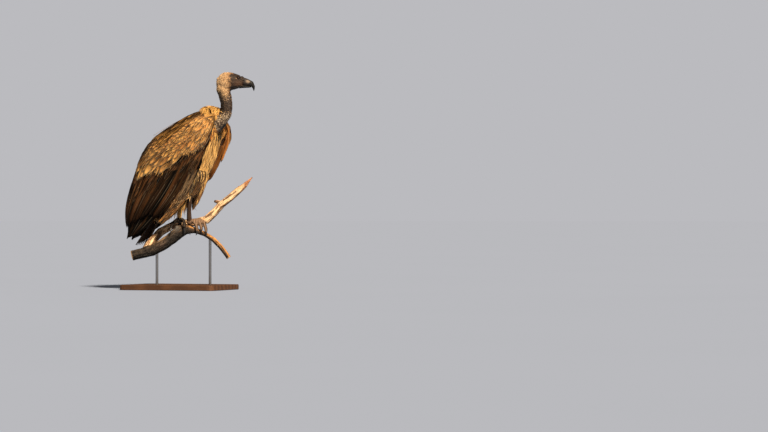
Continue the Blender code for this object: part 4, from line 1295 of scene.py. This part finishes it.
def makeTail():
    tail = {"root": (0.185, 0.012), "tip": (-0.052, 0.016), "half": (0.024, 0.068), "roof": 0.016,
            "count": 12, "width": 0.0130, "rings": 14, "coverts": 36}
    count = tail["count"]
    t = np.linspace(0, 1, tail["rings"])
    across = np.linspace(-0.86, 0.86, count)[:, None]
    half = lerp(*tail["half"], t**0.8) - tail["width"] * 0.6
    up = lerp(tail["root"][0], tail["tip"][0] + 0.022 * across**2, t)
    ahead = lerp(tail["root"][1], tail["tip"][1], t) + tail["roof"] * across**2 * t
    spine = onAxis(up, ahead + 0.0030 * (np.abs(across) - 0.5), across * half)
    outward = np.tile(-axisAhead, (count, len(t), 1)) + np.sign(across)[..., None] * (0, 0.12, 0)
    rng = np.random.default_rng(91)
    tints = painted(plumes["black"], (rng.uniform(0, 0.3, count), plumes["flight"]))
    root = np.column_stack([0.5 + 0.4 * across, np.full(count, 0.9)])
    piece = vanes("tailFeathers", spine, outward, np.full(count, tail["width"]), bladeShape(0.35, 0.15)(t),
                  tints, rng.uniform(0, 1, count), root, thick=0.0014, cup=0.08, jag=0.06, seed=92, across=5)
    keep(piece, "tail", ["tail"])
    # shorter coverts lie over the tail's root, between the wings
    count = tail["coverts"]
    across = rng.uniform(-1, 1, count)[:, None]
    low = rng.uniform(0.055, 0.20, count)[:, None]
    spine = onAxis(lerp(low + 0.10, low, t), lerp(-0.022, 0.012, t) + 0.006 * across**2,
                   across * lerp(0.030, 0.042, t))
    outward = np.tile(-axisAhead, (count, len(t), 1)) + rng.normal(0, 0.25, (count, 1, 3))
    tints = painted(plumes["umber"], (rng.uniform(0, 1, count), plumes["brown"]))
    root = np.column_stack([0.5 + 0.4 * across, 0.6 + low])
    width = rng.uniform(0.007, 0.011, count)
    piece = vanes("tailCovertFeathers", spine, outward, width, bladeShape(0.4, 0.3)(t), tints,
                  rng.uniform(0, 1, count), root, thick=0.0010, cup=0.1, jag=0.1, seed=93)
    keep(piece, "brown")


finishes.update({
    "breast": featherFinish("breastPlumes", 0.42, 0.50, 0.72, 0.20, rootShade=0.28),
    "ruff": featherFinish("ruffPlumes", 0.35, 0.45, rootShade=0.4),
    "down": featherFinish("legPlumes", 0.30, 0.35, rootShade=0.4),
    "tail": featherFinish("tailPlumes", 0.30, 0.02, 0.65, 0.25, gloss=0.06),
})
makeBreast()
makeRuff()
makeCollar()
makeMantle()
for hand in hands:
    makeScapulars(hand)
    makeFlank(hand)
    makeThigh(hand)
for kind in hanging:
    makeHanging(kind)
makeWrists()
makeTail()
print("body feathers laid")

# short down on the head and neck

def downTree():
    # short tapered tufts spread over a surface by its "down" and laid along its "lie"
    tree = bpy.data.node_groups.new("downTufts", "GeometryNodeTree")
    kinds = {"Geometry": "Geometry", "Tufts": "Float", "Length": "Float", "Width": "Float", "Stand": "Float",
             "Seed": "Int", "Finish": "Material"}
    for name, kind in kinds.items():
        tree.interface.new_socket(name, in_out="INPUT", socket_type=f"NodeSocket{kind}")
    tree.interface.new_socket("Geometry", in_out="OUTPUT", socket_type="NodeSocketGeometry")
    inputs = tree.nodes.new("NodeGroupInput")
    given = {name: Wire(tree, inputs.outputs[name]) for name in kinds}
    put = given["Geometry"].put
    lie = put("GeometryNodeInputNamedAttribute", {"data_type": "FLOAT_VECTOR"}, {"Name": "lie"})
    share = put("GeometryNodeInputNamedAttribute", {"data_type": "FLOAT"}, {"Name": "down"})
    spread = put("GeometryNodeDistributePointsOnFaces", {"distribute_method": "RANDOM"},
                 {"Mesh": given["Geometry"], "Density": given["Tufts"] * share, "Seed": given["Seed"]})
    facing = Wire(tree, spread.socket.node.outputs["Normal"])
    stray = put("FunctionNodeRandomValue", {"data_type": "FLOAT_VECTOR"},
                {0: (-0.35, -0.35, -0.35), 1: (0.35, 0.35, 0.35), "Seed": 7})
    lifted = put("ShaderNodeVectorMath", {"operation": "SCALE"}, {0: facing, "Scale": given["Stand"]})
    way = put("ShaderNodeVectorMath", {"operation": "ADD"}, {0: lie, 1: lifted})
    way = put("ShaderNodeVectorMath", {"operation": "ADD"}, {0: way, 1: stray})
    turned = put("FunctionNodeAlignRotationToVector", {"axis": "Z"}, {"Vector": way})
    tuft = put("GeometryNodeMeshCone", {"fill_type": "NGON"},
               {"Vertices": 5, "Side Segments": 3, "Radius Top": 0.15, "Radius Bottom": 1.0, "Depth": 1.0})
    long = put("FunctionNodeRandomValue", {"data_type": "FLOAT"}, {2: 0.55, 3: 1.25, "Seed": 11}, 1)
    size = put("ShaderNodeCombineXYZ", None,
               {0: given["Width"], 1: given["Width"] * 0.5, 2: given["Length"] * long})
    laid = put("GeometryNodeInstanceOnPoints", None,
               {"Points": spread, "Instance": tuft, "Rotation": turned, "Scale": size})
    real = put("GeometryNodeRealizeInstances", None, {"Geometry": laid})
    dressed = put("GeometryNodeSetMaterial", None, {"Geometry": real, "Material": given["Finish"]})
    tree.links.new(dressed.socket, tree.nodes.new("NodeGroupOutput").inputs["Geometry"])
    return tree


def headUnwrap(places):
    # the head and neck unrolled about their own upright line
    along, height, side = toHead(places)
    return np.stack([0.5 + 0.47 * np.arctan2(side, along + 0.02) / math.pi, 0.1 + 3.6 * (height + 0.18)], -1)


def makeDown(mesh):
    down = {"Tufts": 330000.0, "Length": 0.0050, "Width": 0.00075, "Stand": 0.34, "Seed": 3,
            "Finish": finishes["headDown"]}
    corners = 20  # points in one tuft
    places = points(mesh)
    along, height, _ = toHead(places)
    rear = smooth(0.012, -0.006, along) * smooth(-0.165, -0.150, height)
    thin = lerp(1.0, 0.14, smooth(-0.05, -0.10, height))
    store(mesh, "down", rear * thin * (1 - 0.9 * napeShare(along, height)))
    lie = unit(painted(-0.9 * perchAlong, (smooth(0.02, -0.03, height), -upright)))
    facing = normals(mesh)
    store(mesh, "lie", unit(lie - facing * np.sum(lie * facing, axis=1)[:, None]))
    pale = 0.40 * smooth(-0.09, -0.03, height) + 0.05
    storeTint(mesh, painted(headTints(places), (pale, srgb(222, 194, 156))))
    thing = newObject("down", mesh)
    step = thing.modifiers.new("tufts", "NODES")
    step.node_group = downTree()
    for item in step.node_group.interface.items_tree:
        if item.name in down:
            step[item.identifier] = down[item.name]
    made = evaluated(thing, "headDown")
    setPoints(made, insideBox(points(made)))
    made.shade_smooth()
    roots = points(made).reshape(-1, corners, 3)[:, 0]
    leaf = np.random.default_rng(5).uniform(-0.5, 0.5, (corners, 2)) * bakePatch
    patch = np.repeat(headUnwrap(roots), corners, axis=0) + np.tile(leaf, (len(roots), 1))
    unwrapped(made, "OFBake", patch, read(made.loops, "vertex_index", 1, np.int32)[:, 0])
    keep(newObject("headDown", made), "headDown")


def downLook(start):
    place = objectPlace(start)
    cloud = place.noise(420, 4.0)
    fine = place.noise(1500, 2.0)
    colour = attribute(start, "tint").shaded((0.42, 0.34, 0.27), cloud.between(0.52, 0.36) * 0.6)
    return {"Base Color": colour, "Roughness": fine * 0.2 + 0.7, "height": (fine + cloud, 0.0002)}


finishes["headDown"] = newFinish("headDown", downLook, Specular_IOR_Level=0.15)
makeDown(headShape)
print("down laid")

# eyes, bill and claws

def makeEye(hand):
    eye = {"segments": (32, 24), "bulge": 0.06, "cornea": 0.55, "forward": 0.18}
    low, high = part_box(f"eye_{hands[hand].lower()}")

    def rank(face):
        corners = [corner.index for corner in face.verts]
        return min(corners) * 4 * len(form.verts) + sum(corners)

    form = bmesh.new()
    bmesh.ops.create_uvsphere(form, u_segments=eye["segments"][0], v_segments=eye["segments"][1],
                              radius=(high.z - low.z) / 2)
    # the sphere's faces are made in another order on each run, so they are put in one
    form.verts.index_update()
    form.faces.sort(key=rank)
    for vertex in form.verts:
        # the cornea stands out a little
        turn = vertex.co.angle(Vector((0, 0, 1)))
        vertex.co *= 1 + eye["bulge"] * math.exp(-((turn / eye["cornea"]) ** 2))
    mesh = bpy.data.meshes.new("eye")
    form.to_mesh(mesh)
    form.free()
    store(mesh, "turn", np.arccos(np.clip(unit(points(mesh))[:, 2], -1, 1)))
    gaze = Vector(headSide * hand + perchAlong * eye["forward"]).to_track_quat("Z", "Y").to_matrix().to_4x4()
    gaze.translation = carried(np.array([(low + high) / 2]))[0]
    mesh.transform(gaze)
    mesh.shade_smooth()
    keep(newObject(f"eyeball{hands[hand]}", mesh), "eye", [f"eye_{hands[hand].lower()}"])


def eyeLook(start):
    turn = attribute(start, "turn", 2)
    streaks = objectPlace(start).noise(1400, 4.0)
    iris = plainColour(start, srgb(40, 23, 15)).tinted(srgb(72, 44, 28), streaks.between(0.4, 0.7) * 0.7)
    ringed = iris.tinted((0.006, 0.004, 0.004), turn.between(0.60, 0.78))
    return {"Base Color": ringed.tinted((0.002, 0.002, 0.002), turn.between(0.36, 0.31)),
            "Roughness": streaks * 0.04 + 0.20}


def makeBill():
    for node, name in (("bill_upper", "billUpper"), ("bill_lower", "billLower")):
        mesh = fused([node], 0.0010, 3, 0.0)
        places = points(mesh)
        along, height, side = toHead(places)
        facing = normals(mesh)
        out = 0.00018 * speckle(places, 260)
        if node == "bill_upper":
            nostril = np.hypot((along - 0.0745) * 1.3 + (height - 0.002) * 0.5, (height - 0.002) * 0.75)
            out -= 0.0026 * bump(nostril, 0, 0.0021) * (np.abs(side) > 0.005)
            out += 0.0007 * bump(nostril, 0.0040, 0.0013)
            cere = along + 0.18 * (height + 0.002)
            out += 0.0009 * smooth(0.0800, 0.0780, cere) - 0.0006 * bump(cere, 0.0806, 0.0012)
            out += 0.0007 * bump(side, 0, 0.0026) * smooth(0.2, 0.7, facing[:, 2])
            out += 0.00025 * np.sin((along * 0.6 + height) * 1900) * smooth(0.084, 0.094, along)
        setPoints(mesh, places + facing * out[:, None])
        mesh.shade_smooth()
        store(mesh, "spot", np.stack(toHead(points(mesh)), -1))
        setPoints(mesh, insideBox(carried(points(mesh))))
        keep(newObject(name, mesh), "bill", [node])


def billLook(start):
    spot = attribute(start, "spot", 1)
    along, height = spot.part(0), spot.part(1)
    place = objectPlace(start)
    cloud = place.noise(140, 5.0)
    fine = place.noise(700, 3.0, 0.6, (1, 1, 2.5))
    black, slate, pale = srgb(20, 18, 19), srgb(50, 43, 41), srgb(186, 160, 136)
    # a pale patch on the bill's side: partly pale horn, partly a painted highlight
    patch = (((along - 0.0912) * 95) ** 2) + (((height - 0.0016) * 145) ** 2) + cloud * 2.0
    colour = plainColour(start, slate).tinted(black, (along + cloud * 0.01).between(0.092, 0.106))
    colour = colour.tinted(srgb(46, 35, 30), along.between(0.079, 0.074) * 0.8)
    colour = colour.tinted(black * 0.5, (height + cloud * 0.002).between(-0.0095, -0.0130))
    colour = colour.tinted(pale, patch.between(2.6, 0.7) * 0.52)
    colour = colour.shaded((0.4, 0.36, 0.34), fine.between(0.35, 0.7) * 0.5)
    return {"Base Color": colour, "Roughness": cloud * 0.22 + 0.42, "height": (cloud * 0.6 + fine, 0.0003)}


def makeClaws():
    for side in ("left", "right"):
        for toe in toes:
            mesh = fused([f"claw_{side}_{toe}"], 0.0009, 2, 0.0002)
            mesh.shade_smooth()
            keep(newObject(f"claw{side.capitalize()}{toe.capitalize()}", mesh), "claw",
                 [f"claw_{side}_{toe}"])


def clawLook(start):
    place = objectPlace(start)
    cloud = place.noise(260, 5.0)
    fine = place.noise(1500, 2.0, 0.6, (1, 1, 0.2))
    colour = plainColour(start, srgb(30, 27, 26)).tinted(srgb(96, 84, 74), cloud.between(0.5, 0.8) * 0.7)
    return {"Base Color": colour.shaded((0.3, 0.3, 0.3), fine.between(0.4, 0.7) * 0.4),
            "Roughness": cloud * 0.3 + 0.2, "height": (fine + cloud, 0.0002)}


finishes.update({
    "eye": newFinish("eyeball", eyeLook, Coat_Weight=0.15, Coat_Roughness=0.15, Specular_IOR_Level=0.25),
    "bill": newFinish("billHorn", billLook, Specular_IOR_Level=0.2),
    "claw": newFinish("clawHorn", clawLook),
})
for hand in hands:
    makeEye(hand)
makeBill()
makeClaws()
print("eyes, bill and claws made")

# the perch and its stand: the wood's middle lines as in the solids: along the perch, behind it, height
perch = {
    "branch": ((-0.235, 0, -0.105), (-0.192, 0, -0.094), (-0.149, 0, -0.083), (-0.100, 0, -0.056),
               (-0.071, 0, -0.036), (-0.043, 0, -0.013), (-0.016, 0, 0.004), (0.012, 0, 0.0075),
               (0.041, 0, 0.001), (0.075, 0, -0.0125), (0.112, 0, -0.036), (0.146, 0, -0.071),
               (0.178, 0, -0.114)),
    "limb": ((-0.178, 0.004, -0.082), (-0.152, 0.040, -0.042), (-0.112, 0.074, 0.000),
             (-0.050, 0.088, 0.031),
             (0.030, 0.084, 0.036), (0.070, 0.079, 0.044), (0.098, 0.074, 0.063), (0.124, 0.070, 0.094),
             (0.148, 0.066, 0.119), (0.180, 0.060, 0.141), (0.217, 0.052, 0.174), (0.239, 0.049, 0.192),
             (0.266, 0.045, 0.220), (0.277, 0.044, 0.231)),
    # on the branch: the share of its length, the turn about it, the size
    "knots": ((0.42, 0.7, 0.012), (0.24, -1.6, 0.010), (0.70, 1.4, 0.006), (0.83, -2.4, 0.005),
              (0.14, 0.9, 0.008), (0.55, 2.6, 0.006)),
}


def onWood(places, line):
    # how far along the wood each place is, its turn about the middle, and how much it faces up
    rows = spline(line, np.linspace(0, 1, 240))
    middle = perchPlace(rows[:, 0], -rows[:, 1], rows[:, 2])
    near = nearest(middle, places)
    run = np.concatenate([[0], np.cumsum(np.linalg.norm(np.diff(middle, axis=0), axis=1))])
    way = unit(np.gradient(middle, axis=0))[near]
    out = places - middle[near]
    above = unit(upright - way * way[:, 2:3])
    beside = np.cross(way, above)
    turn = np.arctan2(np.sum(out * beside, axis=1), np.sum(out * above, axis=1))
    return run[near] + np.sum(out * way, axis=1), turn, np.sum(unit(out) * above, axis=1)


def grain(run, turn, lengthwise, around, seed):
    # noise stretched along the wood, without a seam round it
    spots = np.stack([run * lengthwise, np.cos(turn) * around, np.sin(turn) * around + seed], -1)
    return np.array([clouds.fractal(Vector(spot), 1.0, 2.0, 3) for spot in spots])


def dress(name, mesh, colour, finish, node):
    mesh.shade_smooth()
    storeTint(mesh, colour, 1.0)
    keep(newObject(name, mesh), finish, [node])


def makeBranch():
    mesh = fused(["perch_branch"], 0.0021, 4, 0.0)
    places = points(mesh)
    run, turn, top = onWood(places, perch["branch"])
    length = run.max()
    share = run / length
    ends = np.minimum(run, length - run)
    old = smooth(0.62, 0.40, share)  # thick, rough bark to the left, thinner to the right
    furrow = np.abs(grain(run, turn, 14, 2.6, 0))
    crust = grain(run, turn, 60, 4.0, 7)
    patches = grain(run, turn, 9, 1.6, 13)
    streaks = grain(run, turn, 26, 6.0, 17)
    out = -0.0026 * smooth(0.12, 0.0, furrow) * lerp(0.35, 1.0, old) + 0.0011 * crust * lerp(0.6, 1, old)
    for at, way, size in perch["knots"]:
        beside = (np.mod(turn - way + math.pi, 2 * math.pi) - math.pi) * 0.016
        out += 0.0035 * bump(np.hypot(run - length * at, beside), 0, size)
    setPoints(mesh, places + normals(mesh) * ((out - 0.0008) * smooth(0.001, 0.006, ends))[:, None])
    x, z = fromPerch(places)
    lit = smooth(-0.20, 0.30, top + patches * 0.8) * (1 - old) * smooth(-0.35, 0.1, streaks)
    ridge = smooth(0.55, 0.9, top + 0.5 * streaks) * smooth(0.10, 0.30, share) * old
    bare = (smooth(0.1, 0.4, patches) * smooth(0.35, 0.5, share) * smooth(0.62, 0.5, share)
            * smooth(0, 0.5, top))
    scar = bump(np.hypot(run - 0.47 * length, (turn + 1.25) * 0.02), 0, 0.014)
    shade = smooth(-0.105, -0.080, x) * smooth(0.014, 0.004, x) * smooth(-0.9, 0.3, streaks + 1.0)
    knob = bump(np.hypot(x + 0.043, z - 0.014), 0, 0.013)
    # the bark is a little lighter towards its top and darker on its underside: painted light and shade
    colour = painted(
        srgb(58, 42, 32), (smooth(0.0, 0.55, crust * 0.7 + streaks * 0.8 + 0.35 * top), srgb(112, 94, 78)),
        (lit, srgb(214, 150, 78)), (ridge * 0.8, srgb(170, 136, 100)), (bare * 0.8, srgb(206, 176, 140)),
        (0.9 * smooth(0.10, 0.0, furrow), 0.15), (smooth(-0.05, -0.7, top), 0.25),
        (0.8 * scar, srgb(150, 142, 132)), (smooth(-0.085, -0.150, x), 0.30), (shade, 0.30),
        (knob * 0.8, srgb(98, 96, 94)),
        (smooth(0.0035, 0.0015, ends), srgb(188, 152, 110)))
    dress("perchBranch", mesh, colour, "bark", "perch_branch")


def makeLimb():
    mesh = fused(["perch_limb"], 0.0019, 3, 0.0)
    places = points(mesh)
    run, turn, top = onWood(places, perch["limb"])
    share = run / run.max()
    fibre = grain(run, turn, 9, 5.0, 3)
    strand = grain(run, turn, 26, 9.0, 5)
    split = np.abs(grain(run, turn, 7, 2.2, 21))
    bark = smooth(0.12, 0.30, grain(run, turn, 17, 1.5, 31) + 0.30 * smooth(0.2, -0.8, top) + 0.15 * strand)
    out = 0.0014 * fibre - 0.0030 * smooth(0.06, 0.0, split) - 0.0006 + 0.0018 * bark + 0.0006 * strand
    out -= 0.0016 * smooth(0.80, 0.98, share) * (1 + np.sin(turn * 3 + run * 60))
    setPoints(mesh, insideBox(places + normals(mesh) * out[:, None]))
    dusk = srgb(104, 70, 46)
    x, z = fromPerch(places)
    thorn = bump(np.hypot(x - 0.113, z - 0.128), 0, 0.012)
    colour = painted(
        srgb(244, 212, 170), (smooth(-0.05, 0.45, fibre + 0.6 * strand), srgb(214, 156, 100)),
        (smooth(0.07, 0.0, split) * 0.85, dusk),
        (bark * 0.9, painted(dusk, (smooth(0, 0.4, strand), srgb(60, 42, 30)))),
        (smooth(0.86, 0.97, share) * 0.6, srgb(186, 116, 70)),
        (smooth(0.30, 0.10, share) * smooth(-0.4, 0.2, fibre + strand) * 0.8, dusk),
        (clip01(thorn * 1.3), srgb(84, 56, 38)))
    dress("perchLimb", mesh, colour, "bleached", "perch_limb")


def woodFinish(name, rough, depth, dark):
    def build(start):
        place = objectPlace(start)
        cloud = place.noise(55, 8.0, 0.62)
        fine = place.noise(420, 4.0, 0.6)
        flakes = place.cells(170, "F1").between(0.2, 0.75)
        colour = attribute(start, "tint").shaded((0.35, 0.30, 0.27), cloud.between(0.35, 0.68) * dark)
        return {"Base Color": colour.tinted((1.0, 0.92, 0.82), fine.between(0.55, 0.8) * 0.18),
                "Roughness": fine * 0.15 + rough,
                "height": (cloud * 1.2 + flakes * 0.35 + fine * 0.7, depth)}
    return newFinish(name, build, Specular_IOR_Level=0.25)


def baseLook(start):
    place = objectPlace(start)
    rings = place.put("ShaderNodeTexWave", {"wave_type": "BANDS", "bands_direction": "Y"},
                      {"Vector": place, "Scale": 9.0, "Distortion": 5.0, "Detail": 3.0, "Detail Scale": 1.2})
    pores = place.noise(260, 3.0, 0.6, (0.06, 1, 1))
    colour = plainColour(start, srgb(88, 58, 38)).tinted(srgb(58, 37, 25), rings * 0.7)
    return {"Base Color": colour.shaded((0.3, 0.26, 0.24), pores.between(0.52, 0.72) * 0.6),
            "Roughness": pores * 0.18 + 0.58, "height": (1 - pores, 0.0002)}


def rodLook(start):
    brushed = objectPlace(start).noise(900, 3.0, 0.6, (1, 1, 0.02))
    colour = plainColour(start, srgb(176, 176, 178)).tinted(srgb(140, 140, 144), brushed)
    return {"Base Color": colour, "Roughness": brushed * 0.2 + 0.22, "height": (brushed, 0.00005)}


finishes.update({
    "bark": woodFinish("barkWood", 0.75, 0.0016, 0.75),
    "bleached": woodFinish("bleachedWood", 0.68, 0.0010, 0.35),
    "base": newFinish("stainedWood", baseLook, Specular_IOR_Level=0.2),
    "rod": newFinish("brushedSteel", rodLook, Metallic=1.0),
})
makeBranch()
makeLimb()
for name, finish in (("stand_base", "base"), ("stand_rod_rear", "rod"), ("stand_rod_front", "rod")):
    nodes[name].data.materials.clear()
    nodes[name].data.materials.append(finishes[finish])
print("perch and stand made")
